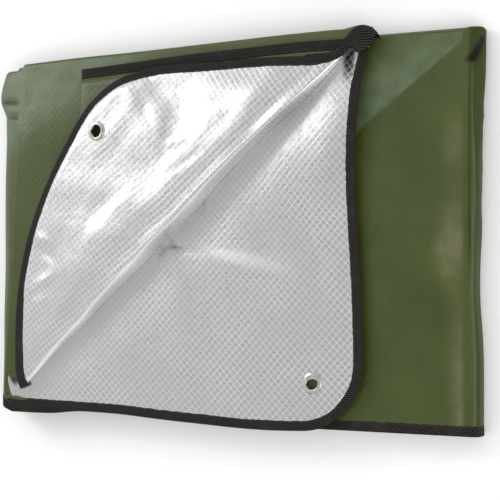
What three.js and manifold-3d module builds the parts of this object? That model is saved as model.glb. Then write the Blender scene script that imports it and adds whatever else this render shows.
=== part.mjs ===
// All-weather picnic blanket, folded flat with one corner turned back.
// Millimetres, +Z up. The folded stack lies on its back panel. One sheet is folded in four along
// its width (legs 1 to 4, open edges at the front of the stack) and then rolled in four panels.
import * as THREE from 'three';
import { mergeVertices } from 'three/addons/utils/BufferGeometryUtils.js';
import Module from 'manifold-3d';

const wasm = await Module();
wasm.setup();

// Driving sizes
const CLOTH = 1.1; // thickness of the laminated sheet
const PITCH = 2.0; // from one layer to the next
const TAPE = 1.5; // thickness of a bound edge
const TAPE_WIDTH = 10;
const GAP = 0.3; // between touching pieces
const STACK_HEIGHT = 380; // bound edges to top fold
const PANEL_LENGTH = 512; // left fold to right fold
const FRONT_END = 390; // free short end of the front panel's back legs
const FRONT_TAPE_FROM = 366; // the front layer's tape starts here, past its turned corner
const INNER_END = 506; // free short end inside the roll
const INNER_FOLD_X = -2; // fold between the two middle panels
const WRAP_REACH = 24; // how far the loose left wrap stands out
const CORNER_RADIUS = 62;
const FOLD_STEPS = { outer: 6, inner: 4 }; // facets round the folds of the strip
const WRAP_STEPS = { left: 12, right: 10, inner: 8 }; // facets round the folds of the roll
const EYELET_HOLE = 6.4; // inner radius of an eyelet
const EYELET_BARREL = 6.9;
const EYELET_BEAD = 8.7;
const EYELET_FLANGE = 10.3;
const BEAD_HEIGHT = 1.3;
const BEAD_CHAMFER = 0.5;
const FLANGE_HEIGHT = 0.5;
const EYELET_SEAT = 0.6; // from the face of the layer to the flange, as the layer curves
const EYELET_STEPS = 24;
const MARGIN = 20; // how far cutting blocks run past what they cut

// Levels of the four panels, from the floor up: back, inner, middle, front
const HALF_STRIP = 1.5 * PITCH; // strip centre to its outer layers
const BACK_Z = CLOTH / 2 + HALF_STRIP;
const INNER_Z = BACK_Z + 4 * PITCH;
const MIDDLE_Z = BACK_Z + 8 * PITCH;
const FRONT_Z = BACK_Z + 12 * PITCH;
const LEG1_Z = FRONT_Z + HALF_STRIP; // front green layer of the front panel
const LEG2_Z = FRONT_Z + HALF_STRIP - PITCH; // silver layer under it
const TOP_FOLD_Y = STACK_HEIGHT - HALF_STRIP - CLOTH / 2;
const BOTTOM_FOLD_Y = 26;

// Turned corner: the ridge of its roll, its rolled height and its bound edge
const RIDGE_START = new THREE.Vector2(391, 361);
const RIDGE_END = new THREE.Vector2(23, 31);
const ROLL_RADIUS = 13;
const ROLL_RADIUS_END = 3.2;
const HINGE_SETBACK = 16; // from ridge to where the layer leaves the stack
const EDGE_Z_TOP = LEG1_Z + 5.8; // bound edge over the under layer
const EDGE_Z_SIDE = LEG1_Z + 2.5; // bound edge over the bare stack
const EDGE_EASE = { from: 270, to: 345 }; // places along the ridge between those two levels
const TURNED_STEPS = { edge: 36, roll: 8, leaf: 7 };
const TURNED_EDGE = [
  { x: 365, y: 362 },
  { x: 300, y: 363 },
  { x: 235, y: 362 },
  { x: 165, y: 360 },
  { x: 128, y: 350 },
  { x: 101, y: 332 },
  { x: 68, y: 289 },
  { x: 42, y: 249 },
  { x: 19, y: 199 },
  { x: 5, y: 148 },
  { x: -1, y: 100 },
  { x: -1, y: 62 },
  { x: 1, y: 36 },
];
const TURNED_EYELET = new THREE.Vector2(110, 298);
const TURNED_PATCH = { start: 205, end: 297, near: 98, far: 260 }; // along and across the ridge

// Lower corner: the silver leaf that the turned corner uncovers
const LEAF_RIGHT = 407;
const LEAF_TOP = 372;
const LEAF_STEPS = { bottom: 14, corner: 8, side: 9 };
const LEAF_LIFT = { rise: 1.2, from: 5, to: 60 }; // rise of the part beyond the ridge
const LEAF_LOW_REACH = 150; // how far up the bottom edge's unevenness is felt
const LEAF_SIDE_FROM = 250; // how far left the right edge's unevenness is felt
const LEAF_LEFT_RISE = { rise: 7, to: 130 };
const LEAF_SAG = { drop: 7, at: 300, spread: 75 }; // along the bottom edge
const LEAF_WAIST = { drop: 7, at: 235, spread: 90 }; // along the right edge
const LEAF_LEAN = { out: 6, from: 320 }; // at the top of the right edge
const LOWER_EYELET = new THREE.Vector2(354, 42);
const LOWER_PATCH = { left: 300, top: 96 }; // the corner's part that holds its eyelet

// Under layer: a doubled strip turned back with the corner, folded at its left
const UNDER_LEFT = 82;
const UNDER_RIGHT = 380;
const UNDER_TOP = 355.3;
const UNDER_BOTTOM = 100;
const UNDER_CLOTH = 1.0;
const UNDER_PITCH = 1.4;
const UNDER_SETBACK = 22; // from ridge to its cut side
const UNDER_STEPS = 8;
const UNDER_TILT = THREE.MathUtils.degToRad(1.68);

// ---- closed solids from grids of centre points ----

function triangulated(points, index) {
  const geometry = new THREE.BufferGeometry();
  geometry.setAttribute('position', new THREE.Float32BufferAttribute(points, 3));
  geometry.setIndex(index);
  return geometry;
}

// A sheet of even thickness about a grid of centre points, closed round its rim.
function sheet(rows, thickness) {
  const count = rows.length;
  const across = rows[0].length;
  const points = [];
  for (const side of [1, -1]) {
    for (let i = 0; i < count; i += 1) {
      for (let j = 0; j < across; j += 1) {
        const along = rows[Math.min(i + 1, count - 1)][j].clone().sub(rows[Math.max(i - 1, 0)][j]);
        const over = rows[i][Math.min(j + 1, across - 1)].clone().sub(rows[i][Math.max(j - 1, 0)]);
        const normal = along.cross(over).normalize();
        const point = rows[i][j].clone().addScaledVector(normal, (side * thickness) / 2);
        points.push(point.x, point.y, point.z);
      }
    }
  }
  const under = count * across;
  const at = (i, j) => i * across + j;
  const index = [];
  const quad = (a, b, c, d) => index.push(a, b, c, a, c, d);
  for (let i = 0; i < count - 1; i += 1) {
    for (let j = 0; j < across - 1; j += 1) {
      quad(at(i, j), at(i + 1, j), at(i + 1, j + 1), at(i, j + 1));
      quad(under + at(i, j), under + at(i, j + 1), under + at(i + 1, j + 1), under + at(i + 1, j));
    }
  }
  const rim = (a, b) => quad(b, a, under + a, under + b);
  for (let i = 0; i < count - 1; i += 1) {
    rim(at(i, 0), at(i + 1, 0));
    rim(at(i + 1, across - 1), at(i, across - 1));
  }
  for (let j = 0; j < across - 1; j += 1) {
    rim(at(0, j + 1), at(0, j));
    rim(at(count - 1, j), at(count - 1, j + 1));
  }
  return triangulated(points, index);
}

function toManifold(geometry) {
  const bare = geometry.clone();
  bare.deleteAttribute('normal');
  bare.deleteAttribute('uv');
  const merged = mergeVertices(bare);
  return new wasm.Manifold(
    new wasm.Mesh({
      numProp: 3,
      vertProperties: merged.attributes.position.array,
      triVerts: Uint32Array.from(merged.index.array),
    }),
  );
}

function fromManifold(solid) {
  const mesh = solid.getMesh();
  return triangulated(Array.from(mesh.vertProperties), Array.from(mesh.triVerts));
}

function subtract(geometry, cutters) {
  const solid = cutters.reduce((rest, cutter) => rest.subtract(toManifold(cutter)), toManifold(geometry));
  return fromManifold(solid);
}

function intersect(geometry, block) {
  return fromManifold(toManifold(geometry).intersect(toManifold(block)));
}

// A straight-sided block over an outline given as x, y pairs.
function prism(outline, bottom, top) {
  const shape = new THREE.Shape(outline.map(([x, y]) => new THREE.Vector2(x, y)));
  const block = new THREE.ExtrudeGeometry(shape, { depth: top - bottom, bevelEnabled: false });
  return block.translate(0, 0, bottom);
}

// ---- the two foldings of the sheet ----

const steps = (count) => Array.from({ length: count + 1 }, (_, i) => i / count);

// Half turn about a centre, from one side of it to the other, bulging along `out`.
function halfTurn(centre, from, out, count) {
  return steps(count).map((t) => ({
    along: centre[0] + out * Math.sin(Math.PI * t),
    level: centre[1] + from * Math.cos(Math.PI * t),
  }));
}

// Section across the strip: leg 1, top fold, leg 4, bottom fold, leg 3, top fold, leg 2.
function stripSection(first, last) {
  const outer = halfTurn([TOP_FOLD_Y, 0], HALF_STRIP, HALF_STRIP, FOLD_STEPS.outer);
  const bottom = halfTurn([BOTTOM_FOLD_Y, -PITCH], -PITCH / 2, -PITCH / 2, FOLD_STEPS.inner);
  const inner = halfTurn([TOP_FOLD_Y, 0], -PITCH / 2, PITCH / 2, FOLD_STEPS.inner);
  return [
    { along: first, level: HALF_STRIP },
    ...outer,
    ...bottom,
    ...inner,
    { along: last, level: PITCH / 2 },
  ];
}

// Half turn of the roll from one level to another: each station has its place and outward side.
function wrap(centreX, reach, fromZ, toZ, count) {
  const centreZ = (fromZ + toZ) / 2;
  const rise = (fromZ - toZ) / 2;
  return steps(count).map((t) => {
    const [sin, cos] = [Math.sin(Math.PI * t), Math.cos(Math.PI * t)];
    return {
      x: centreX + reach * sin,
      z: centreZ + rise * cos,
      out: new THREE.Vector2(sin / reach, cos / rise).normalize(),
    };
  });
}

// The roll of the strip from its free front end to its free inner end.
function rollStations(start, end) {
  return [
    { x: start, z: FRONT_Z, out: new THREE.Vector2(0, 1) },
    ...wrap(0, -WRAP_REACH, FRONT_Z, BACK_Z, WRAP_STEPS.left),
    ...wrap(PANEL_LENGTH, (MIDDLE_Z - BACK_Z) / 2, BACK_Z, MIDDLE_Z, WRAP_STEPS.right),
    ...wrap(INNER_FOLD_X, (INNER_Z - MIDDLE_Z) / 2, MIDDLE_Z, INNER_Z, WRAP_STEPS.inner),
    { x: end, z: INNER_Z, out: new THREE.Vector2(0, -1) },
  ];
}

const onRoll = (station, y, level) =>
  new THREE.Vector3(station.x + station.out.x * level, y, station.z + station.out.y * level);

// ---- the turned corner ----

const ridge = RIDGE_END.clone().sub(RIDGE_START);
const ridgeLength = ridge.length();
const alongRidge = ridge.clone().normalize();
const acrossRidge = new THREE.Vector2(alongRidge.y, -alongRidge.x);

const toRidge = (x, y) => {
  const from = new THREE.Vector2(x, y).sub(RIDGE_START);
  return { along: from.dot(alongRidge), across: from.dot(acrossRidge) };
};
const fromRidge = (along, across) =>
  RIDGE_START.clone().addScaledVector(alongRidge, along).addScaledVector(acrossRidge, across);

// The bound edge in plan, moved inwards by `inset`.
function turnedEdge(inset, count) {
  const curve = new THREE.CatmullRomCurve3(
    TURNED_EDGE.map(({ x, y }) => new THREE.Vector3(x, y, 0)),
    false,
    'centripetal',
  );
  return steps(count).map((t) => {
    const point = curve.getPointAt(t);
    const tangent = curve.getTangentAt(t);
    return new THREE.Vector2(point.x - tangent.y * inset, point.y + tangent.x * inset);
  });
}

const edgeReach = turnedEdge(0, 4 * TURNED_STEPS.edge).map(({ x, y }) => toRidge(x, y));

function reachAt(along) {
  const next = edgeReach.findIndex((point) => point.along >= along);
  if (next <= 0) {
    return edgeReach[next === 0 ? 0 : edgeReach.length - 1].across;
  }
  const [a, b] = [edgeReach[next - 1], edgeReach[next]];
  return a.across + ((b.across - a.across) * (along - a.along)) / (b.along - a.along);
}

function rollRadius(along) {
  const share = THREE.MathUtils.clamp(along / ridgeLength, 0, 1);
  return ROLL_RADIUS_END + (ROLL_RADIUS - ROLL_RADIUS_END) * Math.sqrt(Math.sin(Math.PI * share));
}

// Height of the turned layer, falling from the top of its roll to its bound edge.
function turnedHeight(along, across) {
  const radius = rollRadius(along);
  const top = LEG1_Z + 2 * radius;
  const ease = THREE.MathUtils.smoothstep(along, EDGE_EASE.from, EDGE_EASE.to);
  const edge = THREE.MathUtils.lerp(EDGE_Z_TOP, EDGE_Z_SIDE, ease);
  const share = THREE.MathUtils.clamp((across - radius) / (reachAt(along) - radius), 0, 1);
  return edge + Math.max(top - edge, 0) * (1 - share * share);
}

function turnedPoint({ x, y }) {
  const { along, across } = toRidge(x, y);
  return new THREE.Vector3(x, y, turnedHeight(along, across));
}

function turnedCorner() {
  const rows = turnedEdge(TAPE_WIDTH + 2 * GAP, TURNED_STEPS.edge).map(({ x, y }) => {
    const { along, across } = toRidge(x, y);
    const radius = rollRadius(along);
    const place = (reach, z) => {
      const plan = fromRidge(along, reach);
      return new THREE.Vector3(plan.x, plan.y, z);
    };
    const flat = [place(HINGE_SETBACK, LEG1_Z)];
    const roll = steps(TURNED_STEPS.roll).map((t) => {
      const angle = Math.PI * t;
      return place(radius * (1 - Math.sin(angle)), LEG1_Z + radius * (1 - Math.cos(angle)));
    });
    const leaf = steps(TURNED_STEPS.leaf)
      .slice(1)
      .map((t) => {
        const reach = THREE.MathUtils.lerp(radius, across, t);
        return place(reach, turnedHeight(along, reach));
      });
    return [...flat, ...roll, ...leaf];
  });
  return sheet(rows, CLOTH);
}

function turnedBinding() {
  const outer = turnedEdge(0, TURNED_STEPS.edge);
  const inner = turnedEdge(TAPE_WIDTH, TURNED_STEPS.edge);
  return sheet(outer.map((point, i) => [turnedPoint(point), turnedPoint(inner[i])]), TAPE);
}

// ---- the lower corner ----

const bump = ({ drop, at, spread }, place) => -drop * Math.exp(-(((place - at) / spread) ** 2));

// Plan places on the leaf are first laid out square, then drawn to their uneven edges.
function leafPoint(x, y) {
  const { smoothstep } = THREE.MathUtils;
  const low = 1 - smoothstep(y, 0, LEAF_LOW_REACH);
  const left = LEAF_LEFT_RISE.rise * (1 - smoothstep(x, 0, LEAF_LEFT_RISE.to));
  const side = smoothstep(x, LEAF_SIDE_FROM, LEAF_RIGHT);
  const lean = LEAF_LEAN.out * smoothstep(y, LEAF_LEAN.from, LEAF_TOP);
  const placeX = x + side * (bump(LEAF_WAIST, y) + lean);
  const placeY = y + low * (left + bump(LEAF_SAG, x));
  const { across } = toRidge(placeX, placeY);
  const lift = LEAF_LIFT.rise * smoothstep(-across, LEAF_LIFT.from, LEAF_LIFT.to);
  return new THREE.Vector3(placeX, placeY, LEG2_Z + lift);
}

// The leaf's edge from its left end along the bottom, round the corner and up its right side.
function leafEdge(inset) {
  const radius = CORNER_RADIUS - inset;
  const centreX = LEAF_RIGHT - CORNER_RADIUS;
  const bottom = steps(LEAF_STEPS.bottom).map((t) => [THREE.MathUtils.lerp(GAP, centreX, t), inset]);
  const corner = steps(LEAF_STEPS.corner).slice(1, -1).map((t) => {
    const angle = (Math.PI / 2) * t;
    return [centreX + radius * Math.sin(angle), CORNER_RADIUS - radius * Math.cos(angle)];
  });
  const right = steps(LEAF_STEPS.side).map((t) => [
    LEAF_RIGHT - inset,
    THREE.MathUtils.lerp(CORNER_RADIUS, LEAF_TOP, t),
  ]);
  return [...bottom, ...corner, ...right];
}

function lowerCorner() {
  const inset = TAPE_WIDTH + GAP;
  const radius = CORNER_RADIUS - inset;
  const centreX = LEAF_RIGHT - CORNER_RADIUS;
  const heights = [
    ...steps(LEAF_STEPS.corner).map((t) => inset + radius * (1 - Math.cos((Math.PI / 2) * t))),
    ...steps(LEAF_STEPS.side)
      .slice(1)
      .map((t) => THREE.MathUtils.lerp(CORNER_RADIUS, LEAF_TOP, t)),
  ];
  const rows = heights.map((y) => {
    const drop = Math.max(CORNER_RADIUS - y, 0);
    const right = centreX + Math.sqrt(Math.max(radius * radius - drop * drop, 0));
    return steps(LEAF_STEPS.bottom).map((t) => leafPoint(THREE.MathUtils.lerp(GAP, right, t), y));
  });
  return sheet(rows.reverse(), CLOTH);
}

function lowerBinding() {
  const inner = leafEdge(TAPE_WIDTH);
  const rows = leafEdge(0).map(([x, y], i) => [leafPoint(...inner[i]), leafPoint(x, y)]);
  return sheet(rows, TAPE);
}

// ---- the under layer of the turned corner ----

function underSection() {
  const base = LEG1_Z + CLOTH / 2 + GAP + UNDER_CLOTH / 2;
  const middle = base + UNDER_PITCH / 2;
  const radius = UNDER_PITCH / 2;
  const centre = UNDER_LEFT + radius + UNDER_CLOTH / 2;
  return [
    [UNDER_RIGHT, base + UNDER_PITCH],
    ...steps(UNDER_STEPS).map((t) => {
      const angle = Math.PI * t;
      return [centre - radius * Math.sin(angle), middle + radius * Math.cos(angle)];
    }),
    [UNDER_RIGHT, base],
  ];
}

function underStrip(bottom, top) {
  const section = underSection();
  const rows = section.map(([x, z]) => [new THREE.Vector3(x, bottom, z), new THREE.Vector3(x, top, z)]);
  return sheet(rows.reverse(), UNDER_CLOTH)
    .translate(-UNDER_LEFT, -UNDER_TOP, 0)
    .rotateZ(UNDER_TILT)
    .translate(UNDER_LEFT, UNDER_TOP, 0);
}

// ---- eyelets ----

function eyelet() {
  const top = CLOTH / 2 + EYELET_SEAT;
  const profile = [
    [EYELET_HOLE, -top - FLANGE_HEIGHT],
    [EYELET_FLANGE, -top - FLANGE_HEIGHT],
    [EYELET_FLANGE, -top],
    [EYELET_BARREL, -top],
    [EYELET_BARREL, top],
    [EYELET_FLANGE, top],
    [EYELET_FLANGE, top + FLANGE_HEIGHT],
    [EYELET_BEAD, top + FLANGE_HEIGHT],
    [EYELET_BEAD - BEAD_CHAMFER, top + BEAD_HEIGHT],
    [EYELET_HOLE + BEAD_CHAMFER, top + BEAD_HEIGHT],
    [EYELET_HOLE, top + FLANGE_HEIGHT],
    [EYELET_HOLE, -top - FLANGE_HEIGHT],
  ].map(([radius, z]) => new THREE.Vector2(radius, z));
  return new THREE.LatheGeometry(profile, EYELET_STEPS).rotateX(Math.PI / 2);
}

function eyeletHole() {
  const radius = EYELET_BARREL + GAP;
  return new THREE.CylinderGeometry(radius, radius, MARGIN, EYELET_STEPS).rotateX(Math.PI / 2);
}

// Where an eyelet sits: its centre on the layer and the turn that faces it along the layer's side.
function seat(point, plan) {
  const centre = point(plan.x, plan.y);
  const along = point(plan.x + 1, plan.y).sub(point(plan.x - 1, plan.y));
  const over = point(plan.x, plan.y + 1).sub(point(plan.x, plan.y - 1));
  const turn = new THREE.Quaternion().setFromUnitVectors(
    new THREE.Vector3(0, 0, 1),
    along.cross(over).normalize(),
  );
  return { centre, turn };
}

const turnedSeat = seat((x, y) => turnedPoint({ x, y }), TURNED_EYELET);
const lowerSeat = seat((x, y) => {
  const flat = leafPoint(x, y);
  return new THREE.Vector3(x, y, flat.z);
}, LOWER_EYELET);

const placed = (geometry, { centre, turn }) =>
  geometry.applyQuaternion(turn).translate(centre.x, centre.y, centre.z);

// ---- the folded sheet and its bound edges ----

function foldedSheet() {
  const inset = TAPE_WIDTH + GAP;
  const section = stripSection(inset, inset);
  const stations = rollStations(FRONT_END - inset, INNER_END - inset);
  const rows = stations.map((station) =>
    section.map(({ along, level }) => onRoll(station, along, level)),
  );
  const midLayer = (LEG1_Z + LEG2_Z) / 2;
  const hinge = HINGE_SETBACK + GAP;
  const slope = ridge.y / ridge.x;
  const hingeStart = fromRidge(0, hinge);
  const hingeY = (x) => hingeStart.y + slope * (x - hingeStart.x);
  const hingeEnd = hingeStart.x + (TOP_FOLD_Y - hingeStart.y) / slope;
  const right = LEAF_RIGHT + MARGIN;
  const turnedAway = prism(
    [[0, hingeY(0)], [0, -MARGIN], [right, -MARGIN], [right, TOP_FOLD_Y], [hingeEnd, TOP_FOLD_Y]],
    midLayer,
    LEG1_Z + MARGIN,
  );
  const leafAway = prism(
    [[0, -MARGIN], [right, -MARGIN], [right, LEAF_TOP + GAP], [0, LEAF_TOP + GAP]],
    LEG2_Z - PITCH / 2,
    midLayer,
  );
  return subtract(sheet(rows, CLOTH), [turnedAway, leafAway]);
}

// The tape on a long edge. The outer one is flush with the cloth outside it, so the stack lies flat.
function longBinding(level) {
  const stations = rollStations(FRONT_END, INNER_END).slice(1);
  const rows = stations.map((station) => [0, TAPE_WIDTH].map((y) => onRoll(station, y, level)));
  return sheet(rows, TAPE);
}

function endBinding(station, first, last) {
  const section = stripSection(first, last);
  const rows = [station.x, station.x - TAPE_WIDTH].map((x) =>
    section.map(({ along, level }) => onRoll({ ...station, x }, along, level)),
  );
  return sheet(rows, TAPE);
}

// ---- the assembled blanket ----

const GREEN = { color: 0x5a6639, roughness: 0.55, metalness: 0 };
const SILVER = { color: 0xc9cac8, roughness: 0.35, metalness: 0.7 };
const BLACK = { color: 0x24211f, roughness: 0.85, metalness: 0 };
const STEEL = { color: 0xc4c2bb, roughness: 0.3, metalness: 1 };

const frontEnd = { x: FRONT_END, z: FRONT_Z, out: new THREE.Vector2(0, 1) };
const innerEnd = { x: INNER_END, z: INNER_Z, out: new THREE.Vector2(0, -1) };
const underCut = fromRidge(-UNDER_RIGHT, UNDER_SETBACK);
const underCutEnd = fromRidge(ridgeLength + UNDER_RIGHT, UNDER_SETBACK);
const underAway = prism(
  [[underCut.x, underCut.y], [underCutEnd.x, underCutEnd.y], [underCut.x, underCutEnd.y]],
  LEG1_Z - MARGIN,
  LEG1_Z + MARGIN,
);

// A block over the part of a corner that holds its eyelet, drawn in or out all round by `grow`.
function lowerPatch(grow) {
  const left = LOWER_PATCH.left - grow;
  const top = LOWER_PATCH.top + grow;
  const right = LEAF_RIGHT + MARGIN;
  return prism(
    [[left, -MARGIN], [right, -MARGIN], [right, top], [left, top]],
    LEG2_Z - MARGIN,
    LEG1_Z + MARGIN,
  );
}

function turnedPatch(grow) {
  const { start, end, near, far } = TURNED_PATCH;
  const corners = [
    fromRidge(start - grow, near - grow),
    fromRidge(end + grow, near - grow),
    fromRidge(end + grow, far),
    fromRidge(start - grow, far),
  ];
  return prism(corners.map(({ x, y }) => [x, y]), LEG2_Z, LEG1_Z + 2 * MARGIN);
}

const lowerLayer = subtract(lowerCorner(), [placed(eyeletHole(), lowerSeat)]);
const turnedLayer = subtract(turnedCorner(), [placed(eyeletHole(), turnedSeat)]);

const pieces = [
  ['folded_sheet', foldedSheet(), GREEN],
  ['lower_leaf', subtract(lowerLayer, [lowerPatch(GAP)]), SILVER],
  ['lower_corner', intersect(lowerLayer, lowerPatch(0)), SILVER],
  ['turned_leaf', subtract(turnedLayer, [turnedPatch(GAP)]), SILVER],
  ['turned_corner', intersect(turnedLayer, turnedPatch(0)), SILVER],
  ['under_layer', subtract(underStrip(UNDER_BOTTOM, UNDER_TOP), [underAway]), GREEN],
  ['binding_lower', lowerBinding(), BLACK],
  ['binding_turned', turnedBinding(), BLACK],
  ['binding_under', underStrip(UNDER_TOP + GAP, UNDER_TOP + GAP + TAPE_WIDTH), BLACK],
  ['binding_long_outer', longBinding(HALF_STRIP - (TAPE - CLOTH) / 2), BLACK],
  ['binding_long_inner', longBinding(PITCH / 2), BLACK],
  ['binding_front_end', endBinding(frontEnd, FRONT_TAPE_FROM, LEAF_TOP + GAP), BLACK],
  ['binding_inner_end', endBinding(innerEnd, TAPE_WIDTH + GAP, TAPE_WIDTH + GAP), BLACK],
  ['eyelet_lower', placed(eyelet(), lowerSeat), STEEL],
  ['eyelet_turned', placed(eyelet(), turnedSeat), STEEL],
];

const blanket = new THREE.Group();
for (const [name, geometry, finish] of pieces) {
  const mesh = new THREE.Mesh(geometry, new THREE.MeshStandardMaterial(finish));
  mesh.name = name;
  blanket.add(mesh);
}

// The origin is under the middle of the folded blanket, on the surface that it lies on.
const extent = new THREE.Box3().setFromObject(blanket);
const middle = extent.getCenter(new THREE.Vector3());
blanket.position.set(-middle.x, -middle.y, -extent.min.z);

export default blanket;
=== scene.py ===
import math

import bpy
import numpy as np
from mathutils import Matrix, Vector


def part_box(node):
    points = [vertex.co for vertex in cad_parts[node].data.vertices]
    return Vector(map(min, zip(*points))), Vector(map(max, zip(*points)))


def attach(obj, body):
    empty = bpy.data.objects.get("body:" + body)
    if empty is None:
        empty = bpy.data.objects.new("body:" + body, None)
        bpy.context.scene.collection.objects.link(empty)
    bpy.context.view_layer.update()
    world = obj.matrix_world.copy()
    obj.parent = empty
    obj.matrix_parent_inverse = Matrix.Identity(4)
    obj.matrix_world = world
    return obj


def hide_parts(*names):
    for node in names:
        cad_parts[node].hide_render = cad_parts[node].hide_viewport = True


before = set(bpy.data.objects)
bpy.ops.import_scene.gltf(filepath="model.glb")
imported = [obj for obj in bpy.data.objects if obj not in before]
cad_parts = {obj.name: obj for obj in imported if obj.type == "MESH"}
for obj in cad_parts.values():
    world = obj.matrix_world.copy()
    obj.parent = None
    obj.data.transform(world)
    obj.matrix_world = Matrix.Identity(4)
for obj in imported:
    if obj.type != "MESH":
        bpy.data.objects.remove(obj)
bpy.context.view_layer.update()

# ---- The table top, the light and the camera ----
# A plain white top that the folded blanket lies on, a broad soft light over its upper left
# corner, a weaker one over the right, and a camera that looks down from the right.


def in_scene(name, data):
    """An object of that name and data, linked to the scene."""
    made = bpy.data.objects.new(name, data)
    bpy.context.scene.collection.objects.link(made)
    return made


HALF_SIDE = 4.0
JUST_BELOW = -0.0003
top_mesh = bpy.data.meshes.new("table_top")
square = ((-1, -1), (1, -1), (1, 1), (-1, 1))
top_corners = [(HALF_SIDE * x, HALF_SIDE * y, JUST_BELOW) for x, y in square]
top_mesh.from_pydata(top_corners, [], [(0, 1, 2, 3)])
table_top = in_scene("table_top", top_mesh)
top_paint = bpy.data.materials.new("table_top_paint")
top_paint.use_nodes = True
top_shader = top_paint.node_tree.nodes["Principled BSDF"]
top_shader.inputs["Base Color"].default_value = (0.95, 0.95, 0.95, 1)
top_shader.inputs["Roughness"].default_value = 0.9
top_shader.inputs["Specular IOR Level"].default_value = 0.0
top_mesh.materials.append(top_paint)


def softbox(name, place, aim, size, power):
    """A square area light at a place, turned so that its face looks at the aim."""
    light = bpy.data.lights.new(name, "AREA")
    light.shape = "RECTANGLE"
    light.size, light.size_y = size
    light.energy = power
    lamp = in_scene(name, light)
    lamp.location = place
    way = np.array(aim, float) - np.array(place, float)
    tilt, heading = math.acos(-way[2] / np.linalg.norm(way)), math.atan2(way[1], way[0])
    lamp.rotation_euler = (tilt, 0, heading - math.pi / 2)


softbox("key_softbox", (-1.3, 0.74, 0.91), (0, 0, 0), (0.6, 0.6), 10)
softbox("fill_softbox", (1.4, -0.6, 1.0), (0, 0, 0), (1.2, 1.2), 11)

# White walls, whose light falls from the level of the table to overhead.
surroundings = bpy.data.worlds.new("studio_walls")
surroundings.use_nodes = True
wall_nodes, wall_links = surroundings.node_tree.nodes, surroundings.node_tree.links
walls = wall_nodes["Background"]
walls.inputs["Color"].default_value = (1, 1, 1, 1)
direction = wall_nodes.new("ShaderNodeTexCoord")
height = wall_nodes.new("ShaderNodeSeparateXYZ")
wall_light = wall_nodes.new("ShaderNodeMapRange")
wall_light.inputs["To Min"].default_value = 1.14
wall_light.inputs["To Max"].default_value = 0.64
wall_links.new(direction.outputs["Generated"], height.inputs[0])
wall_links.new(height.outputs["Z"], wall_light.inputs["Value"])
wall_links.new(wall_light.outputs["Result"], walls.inputs["Strength"])
bpy.context.scene.world = surroundings
bpy.context.scene.view_settings.view_transform = "Standard"

lens = bpy.data.cameras.new("camera")
lens.lens = 106.4
lens.sensor_width = 36
lens.shift_y = 0.054
lens.clip_end = 20
camera = in_scene("camera", lens)
camera.location = (0.7298, -0.0412, 1.3326)
camera.rotation_euler = (0, math.radians(28), 0)
bpy.context.scene.camera = camera

# ---- The sheet ----
# One laminated sheet, olive coated cloth on one face and bright film over a diagonal net on the
# other. It is folded in four along its width, rolled in four panels, and its front corner is
# turned back, so the film shows on the turned corner and on the layer under it.

# Sizes in millimetres. The sheet's thickness, the step from one folded layer to the next, the
# lowest layer's level, the middle levels of the strip's four panels, and the levels of the front
# panel's two outer leaves.
LAMINATE = 0.6
PITCH = 2.0
HALF_STRIP = 1.5 * PITCH
FIRST_LAYER_Z = 0.55
BACK_Z = FIRST_LAYER_Z + HALF_STRIP
INNER_Z = BACK_Z + 4 * PITCH
MIDDLE_Z = BACK_Z + 8 * PITCH
FRONT_Z = BACK_Z + 12 * PITCH
OUTER_LEAF_Z = FRONT_Z + HALF_STRIP
LOWER_LEAF_Z = FRONT_Z + PITCH / 2
# The strip's top and bottom folds, and where its panels fold or end.
TOP_FOLD_Y = 376.45
BOTTOM_FOLD_Y = 26.0
FRONT_END = 390.0
RIGHT_FOLD_X = 510.0
INNER_FOLD_X = -2.0
INNER_END = 506.0
# The lower leaf's right edge, its round corner, and the eyelets' holes: how far the cloth is
# opened, how wide round it gives way, and which cells of the grid the hole takes out.
LEAF_RIGHT = 407.0
CORNER_RADIUS = 62.0
HOLE_RADIUS = 7.3
HOLE_REACH = 13.5
HOLE_CELLS = 2.2

# The stack's own axes run from its left crease and its bound bottom edge.
eyelet_box = np.array(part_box("eyelet_lower"), float)
LOWER_EYELET = np.array([354.0, 42.0])
TURNED_EYELET = np.array([110.0, 298.0])
STACK_ORIGIN = np.append(eyelet_box.mean(axis=0)[:2] * 1000 - LOWER_EYELET, 0.0)


def smooth(value, start, end):
    """0 before start and 1 after end, and 3t^2 - 2t^3 of the share t of the way between."""
    t = np.clip((value - start) / (end - start), 0, 1)
    return t * t * (3 - 2 * t)


def bell(value, middle, width):
    """exp(-((value - middle) / width)^2): 1 at the middle, and next to 0 two widths from it."""
    return np.exp(-(((value - middle) / width) ** 2))


def eased(table, at):
    """A smooth line through a table of (place, value) rows: cubic, with the slope at each row
    taken from its two neighbours, and level beyond both ends."""
    place, value = np.array(table, float).T
    slope = np.gradient(value, place)
    at = np.clip(at, place[0], place[-1])
    i = np.clip(np.searchsorted(place, at) - 1, 0, len(place) - 2)
    step = place[i + 1] - place[i]
    t = (at - place[i]) / step
    rise = value[i + 1] - value[i]
    return (
        value[i]
        + rise * t * t * (3 - 2 * t)
        + step * t * (1 - t) * (slope[i] * (1 - t) - slope[i + 1] * t)
    )


def stops(start, end, step, fine=()):
    """Places from start to end a step apart, with a finer step round each (place, reach, step)."""
    places = np.linspace(start, end, max(int(round(abs(end - start) / step)), 1) + 1)
    for place, reach, small in fine:
        near = np.arange(place - reach, place + reach + small / 2, small)
        near = near[(near > min(start, end)) & (near < max(start, end))]
        places = np.concatenate([places[np.abs(places - place) > reach + small / 2], near])
    places = np.sort(places)
    return places if end > start else places[::-1]


def distance_along(points, axis=0):
    """Length of the chain of places up to each of them: the running sum of the distances from
    one to the next, along that axis of the grid. Their coordinates are on the last axis."""
    steps = np.diff(points, axis=axis, prepend=points.take([0], axis=axis))
    return np.cumsum(np.linalg.norm(steps, axis=-1), axis=axis)


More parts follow.
